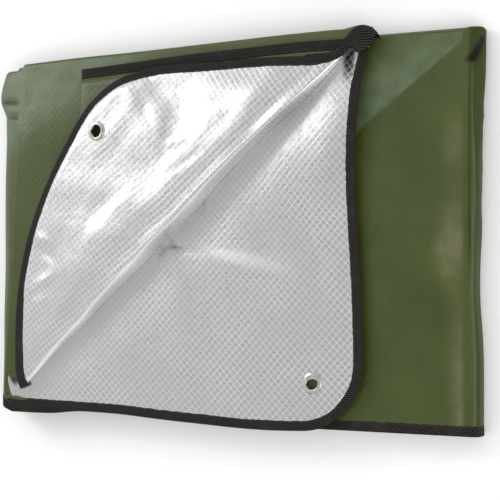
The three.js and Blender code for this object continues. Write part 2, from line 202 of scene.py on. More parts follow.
def resampled(points, travel, at):
    """The places at distances at along a chain whose own places lie at distances travel."""
    return np.stack([np.interp(at, travel, column) for column in points.T], axis=1)


def wrinkled(x, y, folds):
    """Height of the wrinkles at places x, y. Each is a smooth ridge along its turn: its height
    times exp(-(distance across / width)^2) times exp(-(distance along / length)^2)."""
    height = np.zeros(np.broadcast(x, y).shape)
    for at_x, at_y, turn, length, width, rise in folds:
        c, s = math.cos(math.radians(turn)), math.sin(math.radians(turn))
        along = (x - at_x) * c + (y - at_y) * s
        across = (y - at_y) * c - (x - at_x) * s
        height = height + rise * np.exp(-((across / width) ** 2) - (along / length) ** 2)
    return height


def ripple(x, y, size, seed):
    """Gentle unevenness, mostly from -1 to 1: a third of the sum of six sine waves of random
    direction, phase and length, none shorter than size."""
    chance = np.random.default_rng(seed)
    total = np.zeros(np.broadcast(x, y).shape)
    for turn, phase, stretch in chance.uniform((0, 0, 1), (math.pi, 2 * math.pi, 2.2), (6, 3)):
        total = total + np.sin(
            2 * math.pi * (x * math.cos(turn) + y * math.sin(turn)) / (size * stretch) + phase
        )
    return total / 3


def opened(x, y, centre):
    """Moves places near a hole's centre outwards, to the square root of hole^2 + r^2 (1 -
    hole^2 / reach^2), so that a small gap in the grid becomes a round hole."""
    dx, dy = x - centre[0], y - centre[1]
    r = np.maximum(np.hypot(dx, dy), 1e-6)
    grown = np.sqrt(HOLE_RADIUS**2 + r**2 * (1 - HOLE_RADIUS**2 / HOLE_REACH**2))
    scale = np.where(r < HOLE_REACH, grown / r, 1)
    return centre[0] + dx * scale, centre[1] + dy * scale


def clear_of_hole(x, y, centre):
    """Which cells of a grid stay when the hole is cut: those whose four corners lie, in the
    mean, far enough from its centre."""
    r = np.hypot(x - centre[0], y - centre[1])
    return (r[:-1, :-1] + r[1:, 1:] + r[:-1, 1:] + r[1:, :-1]) / 4 >= HOLE_CELLS


def shell(points, flat, marks=None, kept=None, thickness=LAMINATE):
    """A closed shell about a grid of centre points: both faces lie half the thickness along the
    cross product of the grid's two directions, and rim faces close the edge of the kept cells,
    which are all of them if none are named. Returns its corners, faces, flat places, marks, and
    which faces are on the back."""
    rows, columns = points.shape[:2]
    kept = np.ones((rows - 1, columns - 1), bool) if kept is None else kept
    marks = np.zeros_like(flat) if marks is None else marks
    normal = np.cross(np.gradient(points, axis=1), np.gradient(points, axis=0))
    normal /= np.maximum(np.linalg.norm(normal, axis=2, keepdims=True), 1e-9)
    front = (points + normal * thickness / 2).reshape(-1, 3)
    back = (points - normal * thickness / 2).reshape(-1, 3)
    n = len(front)
    at = np.arange(n).reshape(rows, columns)
    cells = np.stack([at[:-1, :-1], at[:-1, 1:], at[1:, 1:], at[1:, :-1]], axis=2)
    outer = cells[kept]
    inner = outer[:, ::-1] + n
    padded = np.pad(kept, 1)
    rims = []
    for shift, first, second in (((-1, 0), 0, 1), ((0, 1), 1, 2), ((1, 0), 2, 3), ((0, -1), 3, 0)):
        beside = np.roll(padded, (-shift[0], -shift[1]), axis=(0, 1))[1:-1, 1:-1]
        a, b = cells[kept & ~beside][:, [first, second]].T
        rims.append(np.stack([b, a, a + n, b + n], axis=1))
    is_back = np.repeat([False, True, False], [len(outer), len(inner), sum(map(len, rims))])
    corners = np.concatenate([front, back])
    faces = np.concatenate([outer, inner, *rims])
    flat, marks = (np.concatenate([each.reshape(-1, 2)] * 2) for each in (flat, marks))
    return corners, faces, flat, marks, is_back


def joined(parts):
    """Several (corners, faces, ...) sets as one, with the face numbers moved on."""
    starts = np.cumsum([0] + [len(p[0]) for p in parts[:-1]])
    faces = np.concatenate([p[1] + s for p, s in zip(parts, starts)])
    others = [np.concatenate([p[k] for p in parts]) for k in range(2, len(parts[0]))]
    return [np.concatenate([p[0] for p in parts]), faces, *others]


def placed(corners):
    """Corners in metres in the row frame, from millimetres in the stack's axes. Nothing dips
    below the table."""
    corners = (corners + STACK_ORIGIN) / 1000
    return np.column_stack([corners[:, :2], np.maximum(corners[:, 2], 0)])


def solid(name, corners, faces, materials, flat=None, marks=None, material_index=None):
    """A smooth mesh object of four-sided faces, from millimetres in the stack's axes to metres
    in the row frame. flat places, if given, become its UV map, in metres, and the two columns
    of marks become its attributes smooth_film_painted_sheen and painted_light, which carry
    painted sheen, painted highlights and painted shade."""
    mesh = bpy.data.meshes.new(name)
    used, faces = np.unique(faces, return_inverse=True)
    faces = faces.reshape(-1, 4)
    mesh.vertices.add(len(used))
    mesh.vertices.foreach_set("co", placed(corners[used]).ravel())
    mesh.loops.add(faces.size)
    mesh.loops.foreach_set("vertex_index", faces.ravel())
    mesh.polygons.add(len(faces))
    mesh.polygons.foreach_set("loop_start", np.arange(0, faces.size, 4))
    mesh.polygons.foreach_set("loop_total", np.full(len(faces), 4))
    mesh.update(calc_edges=True)
    mesh.polygons.foreach_set("use_smooth", np.ones(len(faces), bool))
    if flat is not None:
        layer = mesh.uv_layers.new(name="flat")
        layer.data.foreach_set("uv", (flat[used][faces.ravel()] / 1000).ravel())
    for column, key in enumerate(("smooth_film_painted_sheen", "painted_light") if marks is not None else ()):
        attribute = mesh.attributes.new(key, "FLOAT", "POINT")
        attribute.data.foreach_set("value", marks[used, column].astype(np.float32))
    for material in materials:
        mesh.materials.append(material)
    if material_index is not None:
        mesh.polygons.foreach_set("material_index", material_index.astype(np.int32))
    mesh.validate()
    return in_scene(name, mesh)


# The strip, folded in four. Rows run across it from the bound edge of the first leg, up to the
# top fold, down the fourth leg, round the bottom fold, up the third leg and down the second.
first_leg = stops(0, TOP_FOLD_Y, 9.9, [(6, 6, 3), (340, 34, 3)])
second_leg = stops(TOP_FOLD_Y, 0, 10.5, [(170, 23, 3.6), (42, 12, 1.7), (6, 6, 3)])
hidden_leg = stops(BOTTOM_FOLD_Y, TOP_FOLD_Y, 42)
round_outer = np.linspace(0, math.pi, 9)[1:-1]
round_inner = np.linspace(0, math.pi, 6)[1:-1]
legs = [
    # y, and level from the strip's middle
    (first_leg, HALF_STRIP),
    (TOP_FOLD_Y + HALF_STRIP * np.sin(round_outer), HALF_STRIP * np.cos(round_outer)),
    (hidden_leg[::-1], -HALF_STRIP),
    (BOTTOM_FOLD_Y - PITCH / 2 * np.sin(round_inner), -PITCH - PITCH / 2 * np.cos(round_inner)),
    (hidden_leg, -PITCH / 2),
    (TOP_FOLD_Y + PITCH / 2 * np.sin(round_inner), -PITCH / 2 * np.cos(round_inner)),
    (second_leg, PITCH / 2),
]
row_y, row_level = (np.concatenate(k) for k in zip(*(np.broadcast_arrays(*leg) for leg in legs)))
row_flat = distance_along(np.stack([row_y, row_level], axis=1))
y = row_y[None, :]
row = np.arange(len(row_y))[None, :]
in_first = row < len(first_leg)
in_second = row >= len(row_y) - len(second_leg)
in_outer = row < len(first_leg) + len(round_outer) + len(hidden_leg)

# The crease at the left leans, and the loose wraps beside both creases bulge.
LEFT_CREASE = [  # y, x
    (0, -17), (45, -16), (120, -10), (190, -7), (300, 0), (345, 5), (376, 8),
]
LEFT_BULGE = [  # y, x
    (0, -28), (120, -26), (250, -25), (310, -24), (326, -25.5),
    (334, -29), (342, -33), (350, -33), (366, -30), (380, -25),
]
RIGHT_BULGE = [  # y, x
    (0, 521), (87, 520), (126, 517), (180, 518),
    (253, 520), (303, 521), (350, 524), (380, 523),
]
# The top edge is drawn up towards the turned corner.
TOP_CROWN = [  # x, rise
    (0, -2.5), (72, 0), (144, 1.2), (250, 4), (330, 6), (390, 6.2), (420, 5),
]

# Where the layers leave the stack to turn back, and where the turned corner's ridge runs.
RIDGE_START = np.array([391.0, 361.0])
RIDGE_END = np.array([23.0, 31.0])
RIDGE_LENGTH = float(np.linalg.norm(RIDGE_END - RIDGE_START))
ALONG = (RIDGE_END - RIDGE_START) / RIDGE_LENGTH
ACROSS = np.array([ALONG[1], -ALONG[0]])
HINGE_SETBACK = 16.0


def to_ridge(x, y):
    """Distance along the ridge from its upper end, and across it towards the upper left."""
    dx, dy = x - RIDGE_START[0], y - RIDGE_START[1]
    return dx * ALONG[0] + dy * ALONG[1], dx * ACROSS[0] + dy * ACROSS[1]


def from_ridge(along, across):
    """The place x, y that lies so far along and across the ridge."""
    return (
        RIDGE_START[0] + along * ALONG[0] + across * ACROSS[0],
        RIDGE_START[1] + along * ALONG[1] + across * ACROSS[1],
    )


def beside_ridge_y(x, setback):
    """The height y, at each x, of the straight line that runs beside the ridge at a setback."""
    x0, y0 = from_ridge(0, setback)
    return y0 + ALONG[1] / ALONG[0] * (x - x0)


LEAF_BOTTOM = [  # x, rise
    (0, 5), (76, 3.6), (131, 2.4), (180, -0.8), (228, -3.3),
    (300, -6), (340, -5), (384, -2), (410, 0),
]


def leaf_place(x, y):
    """Draws square places on the second leg's uncovered part to its uneven edges: the bottom
    edge rises at its left and sags at its middle, and the right edge has a waist and a lean."""
    low = 1 - smooth(y, 0, 150)
    waist = -7 * bell(y, 235, 90) + 5 * smooth(y, 320, 368) + 9 * smooth(y, 360, 382)
    return x + smooth(x, 250, LEAF_RIGHT) * waist, y + low * eased(LEAF_BOTTOM, x)


def leaf_end(y):
    """The second leg's right end: straight, with a round corner at the bottom."""
    drop = np.clip(CORNER_RADIUS - y, 0, CORNER_RADIUS)
    return LEAF_RIGHT - CORNER_RADIUS + np.sqrt(CORNER_RADIUS**2 - drop**2)


def flat_panel(x, level, side):
    """A flat panel of the roll: its stations' x, level and outward side, up 1 or down -1."""
    return np.broadcast_arrays(x, level, 0.0, side)


def wrap(angle, centre, reach, start_z, end_z, square):
    """Half turn of the roll: x = centre + reach sin^q, z = middle + rise cos^q, where a smaller
    q gives squarer shoulders. Returns x, z and the outward side as a unit vector."""
    sin, cos = np.sin(angle), np.cos(angle)
    middle, rise = (start_z + end_z) / 2, (start_z - end_z) / 2
    x = centre + reach * np.abs(sin) ** square
    z = middle + rise * np.sign(cos) * np.abs(cos) ** square
    out_x = np.abs(sin) ** (2 - square) / reach
    out_z = np.sign(cos) * np.abs(cos) ** (2 - square) / rise
    size = np.hypot(out_x, out_z)
    return np.broadcast_arrays(x, z, out_x / size, out_z / size)


# Stations run along the strip, from the front panel's end round the left crease, back, round the
# right one, and so inwards.
FRONT, LEFT_WRAP, BACK, RIGHT_WRAP, MIDDLE = range(5)
crease = eased(LEFT_CREASE, y)
# At its right end the first leg reaches further than the front panel, and so, near the top fold,
# does the fourth, which is joined to it there.
OUTER_REACH = 25
longer = OUTER_REACH * np.where(in_first, 1, smooth(y, 354, 377))
end_x = np.where(in_second, leaf_end(y), FRONT_END) + np.where(in_outer, longer, 0)
# Shares of the way across each flat panel, closer together at the lower eyelet and the creases.
front_share = stops(1, 0, 1 / 87, [(0.881, 0.028, 0.004), (0.006, 0.006, 0.003)])[:, None]
back_share = stops(0, 1, 1 / 20)[1:, None]
middle_share = np.concatenate([stops(0, 0.3, 1 / 84)[1:], stops(0.3, 1, 1 / 34)[1:]])[:, None]
inner_share = stops(0, 1, 1 / 16)[1:, None]
left_turn, right_turn, inner_turn = (np.linspace(0, math.pi, k)[1:, None] for k in (19, 31, 9))
left_reach = eased(LEFT_BULGE, y) + HALF_STRIP - crease
right_reach = eased(RIGHT_BULGE, y) - HALF_STRIP - RIGHT_FOLD_X
left_square = 1.3 - 0.65 * smooth(left_turn, 0.7, 1.7)
right_square = 0.45 + 0.4 * smooth(y, 230, 330)
panels = [
    flat_panel(crease + front_share * (end_x - crease), FRONT_Z, 1.0),
    wrap(left_turn, crease, left_reach, FRONT_Z, BACK_Z, left_square),
    flat_panel(crease + back_share * (RIGHT_FOLD_X - crease), BACK_Z, -1.0),
    wrap(right_turn, RIGHT_FOLD_X, right_reach, BACK_Z, MIDDLE_Z, right_square),
    flat_panel(RIGHT_FOLD_X + middle_share * (INNER_FOLD_X - RIGHT_FOLD_X), MIDDLE_Z, 1.0),
    wrap(inner_turn, INNER_FOLD_X, -2 * PITCH, MIDDLE_Z, INNER_Z, 1.0),
    flat_panel(INNER_FOLD_X + inner_share * (INNER_END - INNER_FOLD_X), INNER_Z, -1.0),
]
lengths = [len(each[0]) for each in panels]
station_x, station_z, out_x, out_z = (
    np.concatenate([np.broadcast_to(each[k], (len(each[k]), len(row_y))) for each in panels])
    for k in range(4)
)
panel = np.repeat(np.arange(len(panels)), lengths)[:, None]
in_front, on_left, on_right, in_middle = (
    panel == each for each in (FRONT, LEFT_WRAP, RIGHT_WRAP, MIDDLE)
)
# How far round its half turn each place of the left and right wraps lies, in radians.
half_turn = np.zeros(panel.shape)
half_turn[on_left] = left_turn[:, 0]
half_turn[on_right] = right_turn[:, 0]
half_turn = half_turn + 0 * y

strip_x = station_x + out_x * row_level
strip_z = station_z + out_z * row_level
strip_y = y + 0 * strip_x
# The flat cloth's own places: along the strip from the left crease, as measured on one row of
# the top fold, and across the sheet. On the second leg the net is set a little lower.
GAUGE_ROW = 60
LEAF_NET_SHIFT = 3.0
gauge = distance_along(np.stack([station_x, station_z], axis=2)[:, GAUGE_ROW])[:, None]
cloth_x = np.where(in_front, strip_x, gauge[lengths[FRONT] - 1] - gauge)
cloth_y = np.where(in_second, y - LEAF_NET_SHIFT, row_flat + 0 * strip_x)

# The first leg's front panel ends at the hinge, and beside the left crease on a slanting line
# under the turned corner's lower tip. The first station beyond the crease runs down to its bound
# edge again.
low_y = np.clip(beside_ridge_y(strip_x, HINGE_SETBACK), 0, TOP_FOLD_Y - 10)
tip_edge = 24 + 0.65 * (3 - strip_x) + 4 * bell(strip_x, -3, 7)
low_y = np.maximum(low_y, tip_edge - 60 * smooth(strip_x, 3, 30))
low_y = np.where(in_front, low_y, 0)
strip_y = np.where(in_first, low_y + (TOP_FOLD_Y - low_y) * strip_y / TOP_FOLD_Y, strip_y)
cloth_y = np.where(in_first, strip_y, cloth_y)

# The second leg: its eyelet's hole, its uneven edges, and its small lift beyond the ridge.
second_front = in_front & in_second
kept = clear_of_hole(strip_x, strip_y, LOWER_EYELET) | ~second_front[:-1, :-1]
hole_x, hole_y = opened(strip_x, strip_y, LOWER_EYELET)
cloth_x = np.where(second_front, hole_x, cloth_x)
cloth_y = np.where(second_front, hole_y, cloth_y)
leaf_x, leaf_y = leaf_place(hole_x, hole_y)

# The ridge wanders a little to each side of its straight line.
RIDGE_BOW = [  # along, across
    (-20, 3), (0, 1.5), (65, -1), (110, 2), (142, 3.2), (185, 3), (215, 1), (240, 1.7),
    (277, 3.5), (305, 2), (324, 3.2), (375, 5.2), (405, 5), (431, 7), (494, 7),
]
LEAF_FOLDS = [  # x, y, turn, length, width, rise
    (282, 159, -12, 56, 12, 0.8),
    (200, 174, -4, 24, 5, -1.5),
    (182, 186, 60, 16, 5, 1.3),
    (196, 160, -50, 22, 7, 0.9),
    (176, 160, 60, 24, 7, -0.7),
    (378, 276, 48, 64, 34, 5.4),
    (330, 262, 44, 50, 10, 0.7),
    (120, 60, 30, 60, 18, 0.5),
    (236, 86, -35, 70, 22, 0.5),
    (380, 150, 80, 60, 12, 0.5),
    (180, 110, 44, 90, 8, 0.4),
]


def top_fall(y):
    """How far the layers sink towards the top fold, by the 1.3 power of a smooth step."""
    return 4.5 * smooth(y, 285, 385) ** 1.3


def crowned(x, y):
    """Places of the front panel, drawn up by its crown towards the top, and by a hump where the
    bound end passes over the top fold."""
    hump = 2.5 * smooth(x, 384, 398) * (1 - 0.6 * smooth(x, 404, 418)) * smooth(y, 358, 377)
    return y + eased(TOP_CROWN, x) * smooth(y, 180, 376) + hump


def leaf_height(x, y):
    """Level of the second leg's uncovered part: a lift beyond the ridge, a foot where the fold
    draws it up, wrinkles and ripples."""
    along, across = to_ridge(x, y)
    bare = smooth(-across, -12, 6)
    beyond = eased(RIDGE_BOW, along) - across
    lift = 1.2 * smooth(-across, 5, 60)
    foot = (1 - smooth(beyond, -2, 9)) * smooth(along, 20, 80)
    uneven = wrinkled(x, y, LEAF_FOLDS) + 0.28 * ripple(x, y, 46, 5)
    return LOWER_LEAF_Z - top_fall(crowned(x, y)) + lift + foot + bare * uneven


strip_x = np.where(second_front, leaf_x, strip_x)
strip_y = np.where(second_front, leaf_y, strip_y)
strip_z = np.where(second_front, leaf_height(leaf_x, leaf_y), strip_z)
# The second leg's bound edge stands higher on the left wrap, and a little higher on the back.
WRAP_EDGE_RISE = 7.0
BACK_EDGE_RISE = 4.0
edge_rise = (WRAP_EDGE_RISE * on_left + BACK_EDGE_RISE * (panel == BACK)) * in_second
strip_y = strip_y + edge_rise * (1 - smooth(y, 0, 60))

# The right wrap and the right of the middle panel hang lower than the front, and the left rises.
BACK_DROP = 6.0
LEFT_RISE = 8.5
WRAP_RISE = 5.0
bottom_shift = LEFT_RISE * (1 - smooth(strip_x, 110, 320)) - BACK_DROP
bottom_shift = np.where(on_left, WRAP_RISE * smooth(half_turn, 0, 1.2), bottom_shift)
bottom_shift = np.where(in_front, 0, bottom_shift)

# The whole stack: a crown along the top of the front panel, layers that sink towards the top
# fold, and lower bound edges behind the front panel.
strip_y = np.where(in_front, crowned(strip_x, strip_y), strip_y)
sunk = ((in_front & ~in_second) | in_middle).astype(float)
sunk = np.where(on_left, (1 + np.cos(half_turn)) / 2, sunk)
sunk = np.where(on_right, (1 - np.cos(half_turn)) / 2, sunk)
strip_z = strip_z - sunk * top_fall(strip_y)
strip_y = strip_y + bottom_shift * (1 - smooth(strip_y, 0, 90))
# The layers beside the left crease lie lower than the front panel's top corner, and so do the
# middle panel and the inner layers.
LEFT_STEP = 8.0
MIDDLE_STEP = 1.5
INNER_STEP = 5.0
step_down = LEFT_STEP * on_left * smooth(half_turn, 0, 0.5)
step_down[(panel == BACK)[:, 0]] = LEFT_STEP * (1 - back_share)
strip_y = strip_y - step_down * smooth(strip_y, 300, 376)
strip_y = strip_y - MIDDLE_STEP * in_middle * smooth(strip_y, 300, 376)
inner_down = INNER_STEP * (1 - smooth(strip_x, 15, 80)) * (panel >= MIDDLE)
strip_y = strip_y - inner_down * smooth(strip_y, 300, 376)

# Loose unevenness on what shows: folds of the flat panels, and creases of the loose wraps, which
# are placed by y and by how far round the half turn they lie, 12 to the radian.
GREEN_FOLDS = [  # x, y, turn, length, width, rise
    (40, 250, 84, 120, 22, 0.7),
    (22, 322, 60, 50, 14, 0.6),
    (486, 172, 62, 20, 7, 0.5),
    (455, 60, 88, 70, 8, 0.3),
    (470, 100, 80, 60, 12, 0.4),
    (430, 120, 95, 90, 22, 0.5),
    (200, 372, 3, 200, 12, 0.5),
]
LEFT_WRAP_FOLDS = [  # y, round, turn, length, width, rise
    (336, 9, 72, 9, 3.8, -1.8),
    (326, 8, 80, 8, 4, 1.0),
    (319, 6, 70, 7, 3, -1.6),
    (250, 10, 5, 60, 4, 0.5),
]
RIGHT_WRAP_FOLDS = [  # y, round, turn, length, width, rise
    (360, 29, -60, 10, 4.5, -1.6),
    (300, 26, 60, 12, 4, 1.6),
    (289, 25, 95, 10, 4, -1.4),
    (329, 27, 20, 14, 4, -1.2),
    (240, 26, 80, 16, 5, -0.9),
    (205, 24, 70, 14, 4, 0.8),
]
round_wrap = 12 * half_turn
left_creases = wrinkled(strip_y, round_wrap, LEFT_WRAP_FOLDS)
right_creases = wrinkled(strip_y, round_wrap, RIGHT_WRAP_FOLDS)
panel_loose = wrinkled(strip_x, strip_y, GREEN_FOLDS) + 0.35 * ripple(strip_x, strip_y, 70, 11)
panel_loose = panel_loose * np.where(
    in_front, smooth(strip_x - crease, 0, 16), smooth(RIGHT_FOLD_X - strip_x, 0, 16)
)
left_loose = 0.6 * ripple(strip_y, strip_z, 60, 3) + left_creases
left_loose = left_loose * smooth(half_turn, 0.05, 0.6)
right_loose = 0.6 * ripple(strip_y, 3 * strip_z, 34, 31) * smooth(strip_y, 120, 180)
right_loose = (right_loose + right_creases) * smooth(math.pi - half_turn, 0.02, 0.3)
loose = np.where(in_front | in_middle, panel_loose, np.where(on_left, left_loose, right_loose))
loose = loose * in_first * smooth(strip_y, 4, 30)
strip_x = strip_x + out_x * loose
strip_z = strip_z + out_z * loose
strip_points = np.stack([strip_x, strip_y, strip_z], axis=2)

# Marks, first: where the film beside the ridge is pulled smooth and its net left out, and where
# the olive coat carries a painted sheen: above a slanting line at the top right, and at the top
# left.
strip_across = to_ridge(strip_x, strip_y)[1]
beside_ridge = smooth(strip_across, -20, -6) * second_front
above_line = (strip_y - 290) * 0.79 - (strip_x - 406) * 0.61
sheen_and_smooth_film = np.where(in_middle, above_line / 40, (strip_y - 300) / 400 - (strip_x - 30) / 700)
sheen_and_smooth_film = np.where(in_first & ~on_right, sheen_and_smooth_film, -1.0)
sheen_and_smooth_film = np.where(second_front, beside_ridge, sheen_and_smooth_film)

# Marks, second: painted light on the olive coat, paler above 0 for painted highlights and sheen,
# darker below 0 for painted shade. On the right wrap: a painted highlight along its edge, painted
# shade on the wall behind it, and a painted shadow in the roll's dark opening.
PALE_LINE = [  # y, half turn
    (0, 1.6), (100, 1.8), (155, 2.0), (250, 2.55), (310, 2.75), (376, 2.85),
]
WALL_EDGE = [(0, 2.5), (120, 2.45), (250, 2.55), (310, 2.75), (376, 2.85)]  # y, half turn
pale_line = 0.7 * bell(half_turn, eased(PALE_LINE, y), 0.06)
pale_line = pale_line * smooth(y, 90, 150) * (1 - smooth(y, 330, 345))
wall = smooth(eased(WALL_EDGE, y) - half_turn, -0.1, 0.1)
opening = bell(half_turn, 2.93 - 0.045 * (strip_y - 347), 0.3)
opening = opening * smooth(strip_y, 345, 350) * (1 - smooth(strip_y, 366, 372))
# On the middle panel: a painted sheen along the right crease, and painted shade in the gap beside
# the wrap.
CREASE_SHEEN_FROM = [  # y, x
    (0, 503), (60, 500), (120, 497), (165, 486), (200, 489), (300, 494),
]
crease_sheen_from = eased(CREASE_SHEEN_FROM, strip_y)
painted_crease_sheen = 0.45 * smooth(strip_x, crease_sheen_from - 18, crease_sheen_from + 6)
painted_crease_sheen = painted_crease_sheen * (1 - smooth(strip_y, 270, 330)) * (0.8 + 0.4 * ripple(strip_x, strip_y, 60, 21))
dark_gap = bell(strip_x, 512.5, 1.8) * smooth(strip_y, 120, 180) * (in_middle | (half_turn > 2.6))
# On the front panel: painted highlights, a line along the left crease and one along the top fold.
crease_line = 0.6 * bell(strip_x, crease, 1.5) * smooth(strip_y, 110, 160)
crease_line = crease_line * (1 - smooth(y, 350, 360))
painted_light = in_middle * painted_crease_sheen - 0.6 * dark_gap * (in_middle | on_right)
painted_light = painted_light + on_right * (pale_line - 0.6 * wall - 2.6 * opening)
painted_light = painted_light + in_front * (0.2 * bell(strip_y, 381, 3.0) + crease_line)
# Painted shade in the left wrap's creases.
painted_light = painted_light + on_left * np.minimum(left_creases, 0) * 0.4

# On the film the same mark darkens the cells of the net, below 0, under the top end of the turned
# corner, and paints shade on them under its lower tip and in the small creases beside the ridge.
# Above 0 it brightens them, a painted highlight where a broad lift of the leaf catches the light.
DARK_FOLDS = [  # x, y, turn, length, width, how dark
    (-5, 34, -28, 8, 3.5, 1.6),
    (199, 175, -2, 16, 2.6, 0.5),
    (194, 181, -50, 6, 3, 0.4),
    (181, 169, 60, 8, 4, 0.45),
    (231, 216, 78, 10, 3, 0.35),
    (212, 198, 44, 26, 5, 0.22),
]
BRIGHT_LIFTS = [  # x, y, turn, length, width, how bright
    (283, 163, -12, 50, 9, 0.6),
    (260, 167, -10, 24, 6, 0.35),
]
under_top_end = np.exp(-(((strip_x - 391.5) / 6.5) ** 4)) * smooth(strip_y, 334, 344)
dark_cells = under_top_end + wrinkled(strip_x, strip_y, DARK_FOLDS)
bright_cells = wrinkled(strip_x, strip_y, BRIGHT_LIFTS)
painted_light = np.where(second_front, bright_cells - dark_cells, painted_light)
strip_part = shell(
    strip_points, np.stack([cloth_x, cloth_y], axis=2), np.stack([sheen_and_smooth_film, painted_light], axis=2), kept
)

# The turned corner. Its columns stand across the ridge: a short flat part, half a turn of the
# roll, and the leaf that falls from the roll to the bound edge.
TURNED_EDGE = [  # x, y
    (398, 380), (391, 374), (384, 368), (375, 363.5), (362, 361), (330, 361.5), (300, 362.5),
    (235, 362), (165, 360), (128, 350), (101, 332), (68, 289), (42, 249), (19, 199),
    (5, 148), (-1, 100), (-1.5, 62), (-0.8, 42), (1.5, 32), (5, 24),
]
# The side of the fold is steep, and so deep across from its outermost line to its crest.
FOLD_DEPTH = [  # along, depth
    (-20, 1.5), (0, 2), (65, 4), (110, 2), (142, 2), (185, 2.6), (215, 4.6), (245, 2.8),
    (290, 4.5), (312, 6), (336, 4.6), (365, 3.6), (400, 4), (430, 3), (494, 2.5), (507, 1.6),
]
# Half the height of the fold: most at its middle, and little at its ends.
FOLD_RADIUS = [  # along, radius
    (-20, 1.4), (0, 2.0), (65, 7.0), (130, 9.0), (180, 9.9), (250, 10.2),
    (340, 8.6), (400, 5.8), (450, 3.4), (494, 1.6), (507, 1.0),
]
# The bound edge's level along the top and along the side.
EDGE_Z_TOP = OUTER_LEAF_Z + 5.8
EDGE_Z_SIDE = OUTER_LEAF_Z + 2.5
TURNED_FOLDS = [  # x, y, turn, length, width, rise
    (150, 300, 50, 60, 12, -0.8),
    (250, 335, 12, 50, 12, 0.7),
    (131, 315, 48, 26, 12, -0.6),
    (140, 220, 42, 60, 8, 0.6),
    (90, 205, 58, 46, 9, 0.6),
    (300, 335, 42, 40, 8, 0.8),
    (262, 300, 42, 46, 8, -0.8),
    (222, 262, 30, 26, 4, -0.7),
    (36, 186, -20, 12, 4, 1.6),
    (44, 170, -30, 14, 4, -1.2),
    (40, 142, 25, 16, 5, 1.3),
    (30, 128, 10, 14, 5, -0.9),
    (60, 110, 48, 40, 8, 0.5),
    (204, 290, -62, 9, 3.5, -1.0),
    (212, 284, 10, 12, 3.5, 0.8),
    (168, 318, -60, 16, 5, -1.0),
    (150, 334, -30, 16, 5, 0.8),
    (196, 290, 80, 26, 6, -0.8),
]
# The corner's main fall runs as a soft step: where its middle lies as a share of the way from
# the crest to the bound edge, how far it reaches to each side, and how steep it is. Beyond it
# the leaf falls gently.
MAIN_FALL = [  # along, middle, reach, steepness, gentle steepness
    (70, 0.62, 0.25, 0.1, 0.06),
    (100, 0.58, 0.28, 0.24, 0.04),
    (130, 0.5, 0.38, 0.22, 0.04),
    (160, 0.4, 0.24, 0.17, 0.045),
    (190, 0.28, 0.11, 0.15, 0.05),
    (225, 0.28, 0.11, 0.15, 0.03),
    (250, 0.27, 0.1, 0.14, 0.045),
    (300, 0.36, 0.15, 0.09, 0.06),
    (340, 0.42, 0.16, 0.09, 0.07),
    (370, 0.5, 0.18, 0.08, 0.07),
    (405, 0.6, 0.2, 0.07, 0.055),
    (440, 0.75, 0.2, 0.04, 0.035),
]


def along_line(places, step):
    """Places a step apart along a smooth line through the given ones: each coordinate is eased
    over the length of the straight chain of places."""
    places = np.array(places, float)
    chain = distance_along(places)
    at = np.linspace(0, chain[-1], max(int(chain[-1] / step), 2) + 1)
    return np.stack([eased(np.stack([chain, column], 1), at) for column in places.T], axis=1)


edge_line = along_line(TURNED_EDGE, 2.0)
edge_along, edge_across = to_ridge(*edge_line.T)
edge_along = np.maximum.accumulate(edge_along + np.arange(len(edge_along)) * 1e-6)


def reach(along):
    """How far across the ridge the turned corner's bound edge lies."""
    return np.interp(along, edge_along, edge_across)


def crest(along):
    """How far across the ridge the crest of the fold lies."""
    return eased(RIDGE_BOW, along) + eased(FOLD_DEPTH, along)


def turned_height(along, across):
    """Height of the turned corner: a quick fall beside the crest, the main fall and the gentle
    one beyond it, and what is left of the way down to the bound edge under its tape. Wrinkles
    die out at the crest and at the tape."""
    top = OUTER_LEAF_Z + 2 * eased(FOLD_RADIUS, along)
    edge = EDGE_Z_TOP + (EDGE_Z_SIDE - EDGE_Z_TOP) * smooth(along, 270, 345)
    width = reach(along) - crest(along)
    share = np.clip((across - crest(along)) / width, 0, 1)
    table = np.array(MAIN_FALL)
    middle, half, steep, gentle = (eased(table[:, [0, k]], along) for k in (1, 2, 3, 4))
    quick = 1.1 + 1.2 * (1 - smooth(along, 90, 150))

    def fallen(share):
        """The first three falls down to a share of the way, in millimetres."""
        beside_crest = quick * smooth(share * width, 0, 12) * (1 - 0.6 * smooth(along, 260, 360))
        main = steep * 2 * half * width / 1.5 * smooth(share, middle - half, middle + half)
        eased_in = np.clip((share - 0.2) / 0.2, 0, 1) ** 2 / 10 + np.maximum(share - 0.4, 0)
        return beside_crest + main + gentle * width * eased_in

    whole = np.maximum(top - edge, 0)
    kept_down = np.minimum(1, 0.85 * whole / np.maximum(fallen(1.0), 1e-3))
    rest = (whole - fallen(1.0) * kept_down) * smooth((1 - share) * width, 15, 1)
    x, y = from_ridge(along, across)
    uneven = wrinkled(x, y, TURNED_FOLDS) + 0.32 * ripple(x, y, 38, 8)
    uneven = uneven * smooth(share, 0, 0.12) * (1 - smooth(share, 0.86, 1))
    return top - top_fall(y) - fallen(share) * kept_down - rest + uneven


seat_along, seat_across = to_ridge(*TURNED_EYELET)
column = stops(-9, 507, 4.4, [(seat_along, 14, 1.9)])[:, None]
bow = eased(RIDGE_BOW, column)
radius = eased(FOLD_RADIUS, column)

# The flat part before the roll: its hinge never passes the top fold.
hinge_across = np.minimum(
    HINGE_SETBACK + np.maximum(bow, 0), (7.5 - ALONG[1] * column) / ACROSS[1]
)
hinge_across = np.maximum(hinge_across, bow + 1)

